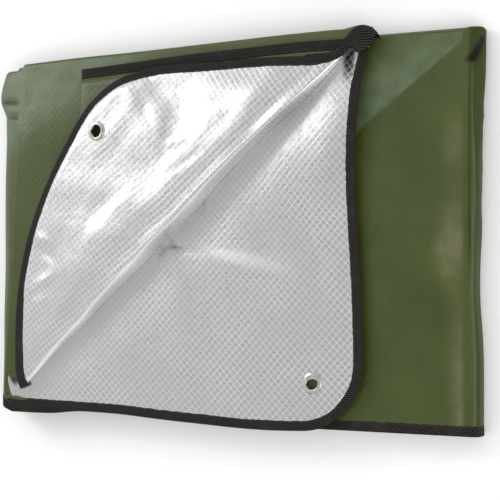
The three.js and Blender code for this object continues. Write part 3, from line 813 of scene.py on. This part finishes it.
# The roll: its underside settles onto the layer below, and its side is steep up to its crest.
turn = np.linspace(0, math.pi, 21)[None, :]
cos, sin = np.cos(turn), np.sin(turn)
under_half = cos > 0
side_across = eased(FOLD_DEPTH, column) * (1 - sin**1.5)
roll_across = bow + np.where(under_half, 0.4 * radius * (1 - sin), side_across)
rise = np.where(under_half, 0.55 * (1 - cos), 0.55 + 1.45 * np.maximum(-cos, 0) ** 1.5)
roll_z = OUTER_LEAF_Z + radius * rise - 1.2 * bell(turn, 0.75, 0.5)

# The leaf, with a finer grid round its eyelet's hole.
seat_share = (seat_across - crest(seat_along)) / (reach(seat_along) - crest(seat_along))
leaf_share = stops(0, 1, 1 / 46, [(seat_share, 0.08, 0.011)])[1:][None, :]
leaf_across = crest(column) + (reach(column) - crest(column)) * leaf_share
leaf_along = column + 0 * leaf_across
leaf_kept = clear_of_hole(leaf_along, leaf_across, (seat_along, seat_across))
leaf_along, leaf_across = opened(leaf_along, leaf_across, (seat_along, seat_across))
leaf_z = turned_height(leaf_along, leaf_across)

turned_along = np.concatenate([column, column + 0 * turn, leaf_along], axis=1)
turned_across = np.concatenate([hinge_across, roll_across, leaf_across], axis=1)
turned_x, turned_y = from_ridge(turned_along, turned_across)
turned_z = np.concatenate([OUTER_LEAF_Z + 0 * hinge_across, roll_z], axis=1)
first_leaf = turned_z.shape[1]
turned_z = np.concatenate([turned_z - top_fall(turned_y[:, :first_leaf]), leaf_z], axis=1)
turned_points = np.stack([turned_x, turned_y, turned_z], axis=2)
travel = distance_along(np.stack([turned_across, turned_z], axis=2), axis=1)
turned_flat = np.stack(from_ridge(turned_along, HINGE_SETBACK - travel), axis=2)
turned_kept = np.ones((turned_x.shape[0] - 1, turned_x.shape[1] - 1), bool)
turned_kept[:, first_leaf:] = leaf_kept
# The net is left out of the fold's smooth side, and from a little below the top end the flat part
# and the roll get a painted highlight, though they face away from the light.
turned_marks = np.zeros_like(turned_flat)
side_smooth = smooth(turn, 1.7, 2.0) * (1 - smooth(turn, 2.75, 3.05))
turned_marks[:, 1:first_leaf, 0] = np.where(under_half, 0, side_smooth)
turned_marks[:, :first_leaf, 1] = 0.8 * smooth(column, 60, 130)
turned_part = shell(
    turned_points[::-1], turned_flat[::-1], turned_marks[::-1], turned_kept[::-1]
)

# At the lower left the first leg stays down: its foot covers the leaf's end there.
FOOT_TOP = [  # x, y
    (-18, 46), (-16.5, 38), (-15, 32), (-11, 19), (-3, 16.5), (10, 13), (20, 11.5), (84, 11),
]
foot_share = stops(0, 1, 1 / 12)[None, :]
foot_x = stops(-18, 84, 2.2)[:, None] + 0 * foot_share
foot_low = -0.6 + 3.0 * (1 - smooth(foot_x, -18, -8)) + 3.6 * smooth(foot_x, 36, 80)
foot_y = foot_low + (eased(FOOT_TOP, foot_x) - foot_low) * foot_share
foot_z = LOWER_LEAF_Z + 1.3 - 2.9 * smooth(foot_x, 14, 50) + 0.4 * (1 - smooth(foot_x, -18, -14))
foot_points = np.stack([foot_x, foot_y, foot_z], axis=2)
foot_part = shell(foot_points[::-1], foot_points[::-1, :, :2])

# The doubled end of the sheet that is turned back with the corner. It lies flat under it,
# folded at its left, and shows between the two bound edges.
UNDER_LEFT = 82.0
UNDER_RIGHT = 392.0
UNDER_TOP = 355.3
UNDER_HEIGHT = 255.0
UNDER_SETBACK = 24.0  # from the ridge's straight line
UNDER_BASE = OUTER_LEAF_Z + 1.35  # the lower of its two layers
UNDER_GAP = 1.4  # from one layer to the other
UNDER_TILT = math.radians(1.68)  # anticlockwise
UNDER_CROWN = [  # x, rise
    (82, 0), (145, 1.2), (217, 3.0), (270, 2.8), (336, 2.6), (392, 0.5),
]


def under_place(x, y):
    """Turns places on the doubled end by its tilt about its upper left corner, and raises
    them towards the top by its crown."""
    c, s = math.cos(UNDER_TILT), math.sin(UNDER_TILT)
    dx, dy = x - UNDER_LEFT, y - UNDER_TOP
    new_x, new_y = UNDER_LEFT + dx * c - dy * s, UNDER_TOP + dx * s + dy * c
    return new_x, new_y + eased(UNDER_CROWN, new_x) * smooth(new_y, 250, 350)


under_fold = np.linspace(0, math.pi, 7)[1:-1]
run = stops(UNDER_LEFT + 1, UNDER_RIGHT, 11)
under_x = np.concatenate([run[::-1], UNDER_LEFT + 1 - np.sin(under_fold), run])[:, None]
upper_share = np.concatenate([run * 0 + 1, (1 + np.cos(under_fold)) / 2, run * 0])
under_low = np.clip(
    beside_ridge_y(under_x, UNDER_SETBACK), UNDER_TOP - UNDER_HEIGHT, UNDER_TOP - 2
)
under_y = under_low + (UNDER_TOP - under_low) * stops(0, 1, 9 / UNDER_HEIGHT)
under_x = under_x + 0 * under_y
placed_x, placed_y = under_place(under_x, under_y)
under_z = UNDER_BASE + UNDER_GAP * upper_share[:, None] - top_fall(placed_y)
under_z = under_z + wrinkled(under_x, under_y, [(84, 335, 85, 40, 6, 0.3)])
under_part = shell(
    np.stack([placed_x, placed_y, under_z], axis=2), np.stack([under_x, under_y], axis=2)
)


def nodes_of(name):
    """A new material with its node tree and its main shader."""
    material = bpy.data.materials.new(name)
    material.use_nodes = True
    return material, material.node_tree, material.node_tree.nodes["Principled BSDF"]


def fill(tree, made, inputs):
    """Fills a node's inputs, by name or number, with values or with other nodes' outputs."""
    for key, value in inputs.items():
        if isinstance(value, bpy.types.NodeSocket):
            tree.links.new(value, made.inputs[key])
        else:
            made.inputs[key].default_value = value


def node(tree, kind, inputs, **settings):
    """The outputs of a new node of that kind, with its inputs and settings."""
    made = tree.nodes.new("ShaderNode" + kind)
    for key, value in settings.items():
        setattr(made, key, value)
    fill(tree, made, inputs)
    return made.outputs


def sums(tree, operation, *values):
    """The output of a Math node on one, two or three values or outputs."""
    return node(tree, "Math", dict(enumerate(values)), operation=operation)[0]


def times(tree, first, second):
    """The product of two values or outputs."""
    return sums(tree, "MULTIPLY", first, second)


def mixed(tree, share, first, second):
    """A colour mix, by a share from 0, the first, to 1, the second."""
    return node(tree, "Mix", {0: share, 6: first, 7: second}, data_type="RGBA")[2]


def ramp(tree, value, low, high, out_low=0.0, out_high=1.0):
    """Value from low to high carried smoothly onto out_low to out_high."""
    inputs = dict(enumerate((value, low, high, out_low, out_high)))
    return node(tree, "MapRange", inputs, interpolation_type="SMOOTHSTEP")[0]


def noise(tree, place, scale, detail=2.0, roughness=0.5):
    """A cloudy pattern from 0 to 1, with so many clouds to the metre."""
    inputs = {"Vector": place, "Scale": scale, "Detail": detail, "Roughness": roughness}
    return node(tree, "TexNoise", inputs)[0]


def mark(tree, name):
    """The mesh's own mark of that name, as a number from place to place."""
    return node(tree, "Attribute", {}, attribute_name=name)["Fac"]


def on_cloth(tree):
    """The place on the flat cloth in metres, and its two coordinates."""
    place = node(tree, "UVMap", {}, uv_map="flat")[0]
    u, v = node(tree, "SeparateXYZ", {0: place})[:2]
    return place, u, v


def bumped(tree, shader, relief, strength, depth):
    """Gives the shader the small relief, with full depth in metres."""
    inputs = {"Strength": strength, "Distance": depth, "Height": relief}
    fill(tree, shader, {"Normal": node(tree, "Bump", inputs)[0]})


NET_SPACING = (0.0052, 0.0057)
HALF_ROOT = 0.7071


def net(tree, place, u, v, thread):
    """How much of a thread of the reinforcing net lies at each place of the flat sheet. Its two
    sets of threads run at 45 degrees to the cloth's edges, a spacing apart, and wander a little:
    each lies where (u + v) or (u - v), times the root of a half, is a whole number of spacings."""
    wander = sums(tree, "MULTIPLY_ADD", noise(tree, place, 40.0, 1.0), 0.0012, -0.0006)
    sets = []
    for operation, gap in zip(("ADD", "SUBTRACT"), NET_SPACING):
        diagonal = sums(tree, "MULTIPLY_ADD", sums(tree, operation, u, v), HALF_ROOT, wander)
        from_thread = sums(tree, "PINGPONG", diagonal, gap / 2)
        sets.append(ramp(tree, from_thread, thread * 0.35, thread * 0.75, 1.0, 0.0))
    return sums(tree, "MAXIMUM", *sets)


# Olive coated cloth: a soft satin coat with the net showing faintly through. Where its first
# mark says so it carries a painted sheen, paler in fine lines along the net's threads.
green_face, tree, shader = nodes_of("green_face")
place, u, v = on_cloth(tree)
threads = net(tree, place, u, v, 0.0010)
clouds = noise(tree, place, 14.0, 6.0, 0.6)
grain = noise(tree, place, 900.0)
crumple = noise(tree, place, 55.0, 3.0)
dark_olive, light_olive = (0.036, 0.053, 0.0055, 1), (0.050, 0.069, 0.0085, 1)
coat = mixed(tree, ramp(tree, clouds, 0.3, 0.7), dark_olive, light_olive)
coat = mixed(tree, times(tree, threads, 0.07), coat, (0.085, 0.11, 0.035, 1))
# The painted sheen is palest next to its slanting line, and less so further in.
sheen_mark = mark(tree, "smooth_film_painted_sheen")
fine_lines = sums(tree, "PINGPONG", sums(tree, "SUBTRACT", u, v), 0.0013)
fine_lines = ramp(tree, fine_lines, 0.0, 0.0013, 0.6, 1.3)
further_in = ramp(tree, sheen_mark, 0.3, 1.5, 1.0, 0.25)
next_to_line = ramp(tree, sheen_mark, 0.05, 0.14, 0.25, 0.0)
next_to_line = times(tree, ramp(tree, sheen_mark, 0.0, 0.05), next_to_line)
shine = sums(tree, "MULTIPLY_ADD", ramp(tree, sheen_mark, -0.04, 0.1), further_in, next_to_line)
shine = times(tree, times(tree, shine, fine_lines), 0.42)
shine = times(tree, shine, ramp(tree, crumple, 0.25, 0.7, 0.55, 1.2))
coat = mixed(tree, shine, coat, (0.145, 0.195, 0.12, 1))
# Painted highlights and sheen make it paler, painted shade darker, and a painted shadow makes
# the deep opening near black.
painted_light_on_coat = mark(tree, "painted_light")
patchy = ramp(tree, crumple, 0.25, 0.75, 0.6, 1.3)
paler = times(tree, ramp(tree, painted_light_on_coat, 0.0, 1.0), patchy)
coat = mixed(tree, paler, coat, (0.17, 0.165, 0.08, 1))
coat = mixed(tree, ramp(tree, painted_light_on_coat, 0.0, -1.0), coat, (0.022, 0.028, 0.004, 1))
coat = mixed(tree, ramp(tree, painted_light_on_coat, -1.0, -2.0), coat, (0.006, 0.006, 0.002, 1))
relief = sums(tree, "MULTIPLY_ADD", threads, 0.5, times(tree, grain, 0.35))
relief = sums(tree, "MULTIPLY_ADD", crumple, 2.4, relief)
fill(
    tree,
    shader,
    {
        "Base Color": coat,
        "Roughness": ramp(tree, clouds, 0.25, 0.75, 0.36, 0.46),
        "Specular IOR Level": ramp(tree, painted_light_on_coat, -0.1, -0.7, 0.42, 0.2),
    },
)
bumped(tree, shader, relief, 0.45, 0.0003)

# Bright film over the net: mirror-like cells, each a little crumpled, between paler threads,
# which fade in places and where the film is pulled smooth.
silver_face, tree, shader = nodes_of("silver_face")
place, u, v = on_cloth(tree)
threads = net(tree, place, u, v, 0.0007)
smooth_film = sums(tree, "MULTIPLY_ADD", mark(tree, "smooth_film_painted_sheen"), -0.8, 1.0)
threads = times(tree, threads, smooth_film)
fading = ramp(tree, noise(tree, place, 13.0, 3.0), 0.2, 0.7, 0.5, 1.0)
threads = times(tree, threads, fading)
crumple = noise(tree, place, 140.0, 4.0, 0.6)
grain = noise(tree, place, 700.0)
marked_film = mark(tree, "painted_light")
dull_film, bright_film = (0.54, 0.54, 0.54, 1), (0.84, 0.84, 0.84, 1)
# Painted light on the cells: brighter above 0, a painted highlight, and darker below 0, with
# painted shade in the creases and under the corner's lower tip.
film = mixed(tree, ramp(tree, marked_film, 0.0, 1.0), dull_film, bright_film)
film = mixed(tree, ramp(tree, marked_film, 0.0, -1.0), film, (0.03, 0.027, 0.025, 1))
film = mixed(tree, threads, film, (0.78, 0.78, 0.775, 1))
film = mixed(tree, ramp(tree, grain, 0.62, 0.75), film, (0.72, 0.72, 0.72, 1))
relief = sums(tree, "MULTIPLY_ADD", threads, 0.35, times(tree, crumple, 1.6))
relief = sums(tree, "MULTIPLY_ADD", grain, 0.2, relief)
fill(
    tree,
    shader,
    {
        "Base Color": film,
        "Metallic": sums(tree, "MULTIPLY_ADD", threads, -0.45, 0.95),
        "Roughness": ramp(tree, crumple, 0.3, 0.7, 0.24, 0.34),
    },
)
bumped(tree, shader, relief, 0.4, 0.0004)

corners, faces, flat, marks, is_back = joined([strip_part, turned_part, foot_part, under_part])
faces_of_cloth = [green_face, silver_face]
sheet = solid("folded_blanket_sheet", corners, faces, faces_of_cloth, flat, marks, is_back)
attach(sheet, "root")
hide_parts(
    "folded_sheet",
    "lower_leaf",
    "lower_corner",
    "turned_leaf",
    "turned_corner",
    "under_layer",
)

# ---- The binding ----
# Black woven tape, folded over the sheet's raw edge all the way round and sewn down near its
# inner side with one row of stitches.

TAPE_WIDTH = 10.0
TAPE_THICKNESS = 1.3
# How far its fold stands out beyond the cloth's edge, and how far its cut side wanders.
TAPE_OVERHANG = 0.7
FRAY = 0.4
# The stitches lie in from the tape's inner side, a step apart, at a share of its half thickness.
STITCH_INSET = 2.0
STITCH_STEP = 3.1
STITCH_LEVEL = 0.62
# Half of a stitch's length, of the length of its full part, of its width and of its height, and
# how far its tips are drawn down.
STITCH_HALF = (1.15, 0.75, 0.28, 0.3)
STITCH_DIP = 0.25
# Across the tape from its outer fold, and above or below the cloth, as shares of its half
# thickness.
TAPE_PROFILE = [  # across, lift
    (0.0, 0.0), (0.25, 0.7), (1.1, 1.0), (4.5, 0.95), (7.3, 0.95), (8.0, 0.62), (8.7, 0.9),
    (9.7, 0.75), (10.0, 0.45), (10.1, 0.0), (10.0, -0.45), (9.7, -0.75), (8.0, -0.8),
    (4.5, -0.95), (1.1, -1.0), (0.25, -0.7),
]


def unit(vectors):
    """Each vector scaled to length one."""
    return vectors / np.maximum(np.linalg.norm(vectors, axis=-1, keepdims=True), 1e-9)


def swept(points, closed=False):
    """Faces between the rings of a grid of places, one ring to a row, and the grid of their
    corners' numbers. If closed, the last ring meets the first."""
    at = np.arange(points.shape[0] * points.shape[1]).reshape(points.shape[:2])
    after = np.roll(at, -1, axis=0)
    faces = np.stack([at, after, np.roll(after, -1, axis=1), np.roll(at, -1, axis=1)], axis=2)
    return (faces if closed else faces[:-1]).reshape(-1, 4), at


def stitches(line, inward, up, travel):
    """Corners of a row of thread stitches over the tape near its inner side. Each is a small
    lozenge of eight corners between two tips."""
    at = np.arange(2.0, travel[-1] - 2.0, STITCH_STEP)
    side, lift = unit(resampled(inward, travel, at)), unit(resampled(up, travel, at))
    forward = np.cross(side, lift)
    centre = resampled(line, travel, at) + side * (TAPE_WIDTH - STITCH_INSET)
    centre = centre + lift * (TAPE_THICKNESS / 2 * STITCH_LEVEL)
    tip, full, wide, high = STITCH_HALF
    rings = [
        (k, *r) for k in (-full, full) for r in ((wide, 0), (0, high), (-wide, 0), (0, -high))
    ]
    shape = [(-tip, 0, -STITCH_DIP), *rings, (tip, 0, -STITCH_DIP)]
    along, across, above = np.array(shape).T[:, None, :, None]
    points = centre[:, None] + forward[:, None] * along + side[:, None] * across
    return points + lift[:, None] * above


def tape_run(line, inward, seed, scale=1.0):
    """The tape's profile carried along an edge line, widened by the scale. inward points along
    the cloth, away from the edge; up is at right angles to it and the line. The inner side
    wanders as a cut woven edge does, and the ends are closed. Returns corners, faces, flat
    places, and the corners of its stitches."""
    travel = distance_along(line)
    forward = unit(np.gradient(line, axis=0))
    inward = unit(inward - forward * (inward * forward).sum(1, keepdims=True))
    up = np.cross(forward, inward)
    fray = np.random.default_rng(seed).uniform(-FRAY, FRAY, (len(line), 1))
    across, lift = np.array(TAPE_PROFILE).T[:, None, :]
    across = across * scale - TAPE_OVERHANG + fray * smooth(across, 8.2, TAPE_WIDTH)
    lift = lift * TAPE_THICKNESS / 2
    points = line[:, None] + inward[:, None] * across[..., None] + up[:, None] * lift[..., None]
    faces, at = swept(points)
    half = at.shape[1] // 2
    left, right = at[0, :half], at[0, ::-1][:half]
    ladder = np.stack([left[:-1], left[1:], right[1:], right[:-1]], axis=1)
    faces = np.concatenate([faces, ladder, ladder[:, ::-1] + at[-1, 0]])
    girth = distance_along(np.array(TAPE_PROFILE))
    flat = np.stack(np.broadcast_arrays(travel[:, None], girth), axis=2).reshape(-1, 2)
    return points.reshape(-1, 3), faces, flat, stitches(line, inward, up, travel)


def stitch_mesh(name, points, material):
    """One object of all the stitches, with three-sided tips and four-sided sides."""
    k = np.arange(4)
    n = (k + 1) % 4
    start = np.stack([0 * k, 1 + n, 1 + k], axis=1)
    end = np.stack([5 + k, 5 + n, 0 * k + 9], axis=1)
    sides = np.stack([1 + k, 1 + n, 5 + n, 5 + k], axis=1)
    first = 10 * np.arange(len(points))[:, None, None]
    faces = [*(first + np.concatenate([start, end])).reshape(-1, 3).tolist()]
    faces += (first + sides).reshape(-1, 4).tolist()
    mesh = bpy.data.meshes.new(name)
    mesh.from_pydata(placed(points.reshape(-1, 3)).tolist(), [], faces)
    mesh.polygons.foreach_set("use_smooth", np.ones(len(faces), bool))
    mesh.materials.append(material)
    return in_scene(name, mesh)


# Tape: near-black yarn with a fine slanting weave that is paler on its crowns.
binding_tape, tree, shader = nodes_of("binding_tape")
place, u, v = on_cloth(tree)
cord_rows = sums(tree, "PINGPONG", sums(tree, "MULTIPLY_ADD", v, 0.7, u), 0.0013)
cross_rows = sums(tree, "PINGPONG", sums(tree, "MULTIPLY_ADD", v, -0.7, u), 0.0016)
crossed = ramp(tree, cross_rows, 0.0002, 0.0016, 0.15, 1.0)
weave = times(tree, ramp(tree, cord_rows, 0.0005, 0.0013), crossed)
yarn = mixed(tree, weave, (0.002, 0.0018, 0.0015, 1), (0.1, 0.093, 0.08, 1))
dusty = ramp(tree, noise(tree, place, 60.0, 3.0), 0.45, 0.8, 0.0, 0.35)
yarn = mixed(tree, dusty, yarn, (0.045, 0.036, 0.03, 1))
fill(tree, shader, {"Base Color": yarn, "Roughness": 0.85, "Specular IOR Level": 0.15})
bumped(tree, shader, weave, 0.6, 0.0003)

# Thread: a shade lighter than the tape, with a twist.
sewing_thread, tree, shader = nodes_of("sewing_thread")
twist = noise(tree, node(tree, "TexCoord", {})["Object"], 1500.0)
thread = mixed(tree, twist, (0.03, 0.028, 0.026, 1), (0.09, 0.085, 0.08, 1))
fill(tree, shader, {"Base Color": thread, "Roughness": 0.7})

# The lower leaf's edge, from the top of its right side round the corner to its left end.
side_y = stops(376, CORNER_RADIUS, 3)
side = np.stack([LEAF_RIGHT + 0 * side_y, side_y], axis=1)
corner_turn = np.linspace(0, math.pi / 2, 34)[1:-1]
corner_centre = np.array([LEAF_RIGHT - CORNER_RADIUS, CORNER_RADIUS])
quarter = np.stack([np.cos(corner_turn), -np.sin(corner_turn)], axis=1)
bottom_x = stops(LEAF_RIGHT - CORNER_RADIUS, -4, 3)
bottom = np.stack([bottom_x, 0 * bottom_x], axis=1)


def on_leaf(*plans):
    """Places on the second leg, carried to its uneven edges and its crown."""
    x, y = leaf_place(*np.concatenate(plans)[::-1].T)
    return np.stack([x, crowned(x, y), leaf_height(x, y)], axis=1)


lower_line = on_leaf(side, corner_centre + CORNER_RADIUS * quarter, bottom)
lower_inner = on_leaf(
    side - (TAPE_WIDTH, 0),
    corner_centre + (CORNER_RADIUS - TAPE_WIDTH) * quarter,
    bottom + (0, TAPE_WIDTH),
)
lower_run = tape_run(lower_line, lower_inner - lower_line, 1)


# The turned corner's edge, from its upper right end round the corner to its lower end.
def on_turned(plan):
    """Places on the turned corner at their height."""
    return np.column_stack([plan, turned_height(*to_ridge(*plan.T))])


edge_way = np.gradient(edge_line, axis=0)
edge_inward = unit(np.stack([-edge_way[:, 1], edge_way[:, 0]], axis=1))
turned_line = on_turned(edge_line)
turned_inner = on_turned(edge_line + edge_inward * TAPE_WIDTH)
# The tape is folded wider at the corner's lower tip.
WIDER_AT_TIP = 0.14
turned_wide = 1 + WIDER_AT_TIP * smooth(edge_along, 430, 455)[:, None]
turned_run = tape_run(turned_line, turned_inner - turned_line, 2, turned_wide)

# The doubled end's edge: both layers are sewn under one tape, which lies on the lower one.
UNDER_TAPE_Z = UNDER_BASE + 1.1
under_at = stops(UNDER_LEFT + 0.5, UNDER_RIGHT, 3)[::-1]
under_edge = np.stack(under_place(under_at, UNDER_TOP + TAPE_WIDTH + 0 * under_at), axis=1)
under_line = np.column_stack([under_edge, UNDER_TAPE_Z - top_fall(under_edge[:, 1])])
under_in = np.tile((math.sin(UNDER_TILT), -math.cos(UNDER_TILT), 0.0), (len(under_at), 1))
under_run = tape_run(under_line, under_in, 3)


def roll_edge(edge_row, shift, step):
    """The strip's edge at a row, from the left crease on, and the way in along the cloth, from
    that row to the one so many beyond it."""
    line = strip_points[lengths[FRONT] :, edge_row]
    inward = strip_points[lengths[FRONT] :, edge_row + shift] - line
    travel = distance_along(line)
    at = stops(0, travel[-1], step)
    return resampled(line, travel, at), resampled(inward, travel, at)


# The two long edges of the strip. The outer one begins on the first leg's foot, where the tape
# is wider.
WIDER_ON_FOOT = 1.35
inner_run = tape_run(*roll_edge(len(row_y) - 1, -3, 5), 5)
outer_line, outer_in = roll_edge(0, 3, 1.8)
foot_edge = foot_points[1:, 0][::-1]
outer_wide = np.repeat([WIDER_ON_FOOT, 1.0], [len(foot_edge), len(outer_line)])[:, None]
outer_line = np.concatenate([foot_edge, outer_line])
outer_in = np.concatenate([np.tile((0.0, 1.0, 0.0), (len(foot_edge), 1)), outer_in])
outer_run = tape_run(outer_line[::-1], outer_in[::-1], 4, outer_wide[::-1])

# The strip's bound end passes over the top fold as two widths of tape, side by side: a path up
# the front, half round the fold and down behind, carried across the end.
HUMP_TOP = [  # x, y
    (386, 375), (389, 377.5), (393, 382.5), (398, 387),
    (405, 388), (413, 385.5), (418, 381.5), (421, 377.5),
]
HUMP_LEFT = 386.5
HUMP_RIGHT = 420.5
HUMP_RADIUS = 6.0
HUMP_TAIL = 30.0
hump_x = stops(HUMP_LEFT, HUMP_RIGHT, 1.5)[:, None]
hump_centre = eased(HUMP_TOP, hump_x) - HUMP_RADIUS
hump_foot = 368 - 7 * smooth(hump_x, 397, 402) + 8 * smooth(hump_x, 404, 420)
up_front = stops(0, 1, 1 / 8)[None, :-1]
round_fold = np.linspace(0, math.pi, 15)[None, :]
down_behind = stops(0, 1, 1 / 6)[None, 1:]
hump_y = np.concatenate(
    [
        hump_foot + (hump_centre - hump_foot) * up_front,
        hump_centre + HUMP_RADIUS * np.sin(round_fold),
        hump_centre - HUMP_TAIL * down_behind,
    ],
    axis=1,
)
front_level = OUTER_LEAF_Z + 1.2 - 3.0 * smooth(hump_y, 355, 385)
before_fold = up_front.shape[1]
fold_level = front_level[:, before_fold, None]
hump_z = np.concatenate(
    [
        front_level[:, :before_fold],
        fold_level - HUMP_RADIUS * (1 - np.cos(round_fold)),
        fold_level - 2 * HUMP_RADIUS + 0 * down_behind,
    ],
    axis=1,
)
# The end's own tape lies over the other, with its side running up to the right.
OWN_TAPE_SIDE = [(355, 391), (368, 395), (378, 403), (384, 413), (388, 422)]  # y, x
overlap = hump_x - eased(OWN_TAPE_SIDE, hump_y)
hump_z = hump_z + 1.1 * smooth(overlap, -0.8, 0.8) * (hump_z > front_level - HUMP_RADIUS)
hump_x = hump_x + 0 * hump_y
hump_points = np.stack([hump_x, hump_y, hump_z], axis=2)
hump_flat = np.stack([distance_along(hump_points, axis=1), hump_x], axis=2)
hump_part = shell(hump_points[::-1], hump_flat[::-1], thickness=TAPE_THICKNESS)

runs = {
    "binding_of_lower_leaf": (lower_run, ["binding_lower"]),
    "binding_of_turned_corner": (turned_run, ["binding_turned"]),
    "binding_of_doubled_end": (under_run, ["binding_under"]),
    "binding_outer_long_edge": (outer_run, ["binding_long_outer"]),
    "binding_inner_long_edge": (inner_run, ["binding_long_inner", "binding_inner_end"]),
    "binding_over_top_fold": (hump_part, ["binding_front_end"]),
}
for name, (run, nodes) in runs.items():
    tape = solid(name, *run[:2], [binding_tape], run[2])
    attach(tape, "root")
    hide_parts(*nodes)
sewn = np.concatenate([run[3] for run in (lower_run, turned_run, under_run, outer_run, inner_run)])
stitching = stitch_mesh("binding_stitches", sewn, sewing_thread)
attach(stitching, "root")

# ---- The eyelets ----
# Two-part plated brass eyelets, pressed through the sheet: a domed face with a rolled rim
# on the silver side, and a flat washer behind.

EYELET_PROFILE = [  # radius, height
    (7.0, -1.3), (7.7, -1.5), (9.9, -1.3), (10.2, -0.9), (9.8, -0.6), (7.1, -0.55), (7.1, 0.5),
    (9.9, 0.55), (10.25, 0.85), (10.0, 1.2), (9.3, 1.45), (8.6, 1.75), (7.9, 2.05), (7.2, 2.1),
    (6.6, 1.8), (6.4, 1.2), (6.7, 0.0),
]
EYELET_SIDES = 64
SEAT_REACH = 4.0

eyelet_metal, tree, shader = nodes_of("eyelet_metal")
tarnish = noise(tree, node(tree, "TexCoord", {})["Object"], 500.0, 3.0)
plating = mixed(tree, tarnish, (0.42, 0.41, 0.38, 1), (0.66, 0.65, 0.62, 1))
shine = ramp(tree, tarnish, 0.3, 0.7, 0.2, 0.36)
fill(tree, shader, {"Base Color": plating, "Metallic": 1.0, "Roughness": shine})


def eyelet(name, height, plan, hidden):
    """The eyelet's profile turned round the normal of the cloth at its seat. height gives the
    cloth's level at places x, y, and the normal comes from the levels a little to each side."""
    (x, y), r = plan, SEAT_REACH
    tilt_x = (height(x + r, y) - height(x - r, y)) / (2 * r)
    tilt_y = (height(x, y + r) - height(x, y - r)) / (2 * r)
    up = unit(np.array([-tilt_x, -tilt_y, 1.0]))
    side = unit(np.cross((0.0, 1.0, 0.0), up))
    other = np.cross(up, side)
    turn = np.linspace(0, 2 * math.pi, EYELET_SIDES + 1)[:-1, None]
    ring = side * np.cos(turn) + other * np.sin(turn)
    radius, lift = np.array(EYELET_PROFILE).T[:, :, None]
    points = np.array([x, y, float(height(x, y))]) + ring[:, None] * radius + up * lift
    faces = swept(points, closed=True)[0]
    made = solid(name, points.reshape(-1, 3), faces, [eyelet_metal])
    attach(made, "root")
    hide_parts(hidden)
    return made


def level_on_turned(x, y):
    """The turned corner's level at places x, y."""
    return turned_height(*to_ridge(x, y))


lower_eyelet = eyelet("eyelet_in_lower_leaf", leaf_height, LOWER_EYELET, "eyelet_lower")
turned_eyelet = eyelet("eyelet_in_turned_corner", level_on_turned, TURNED_EYELET, "eyelet_turned")
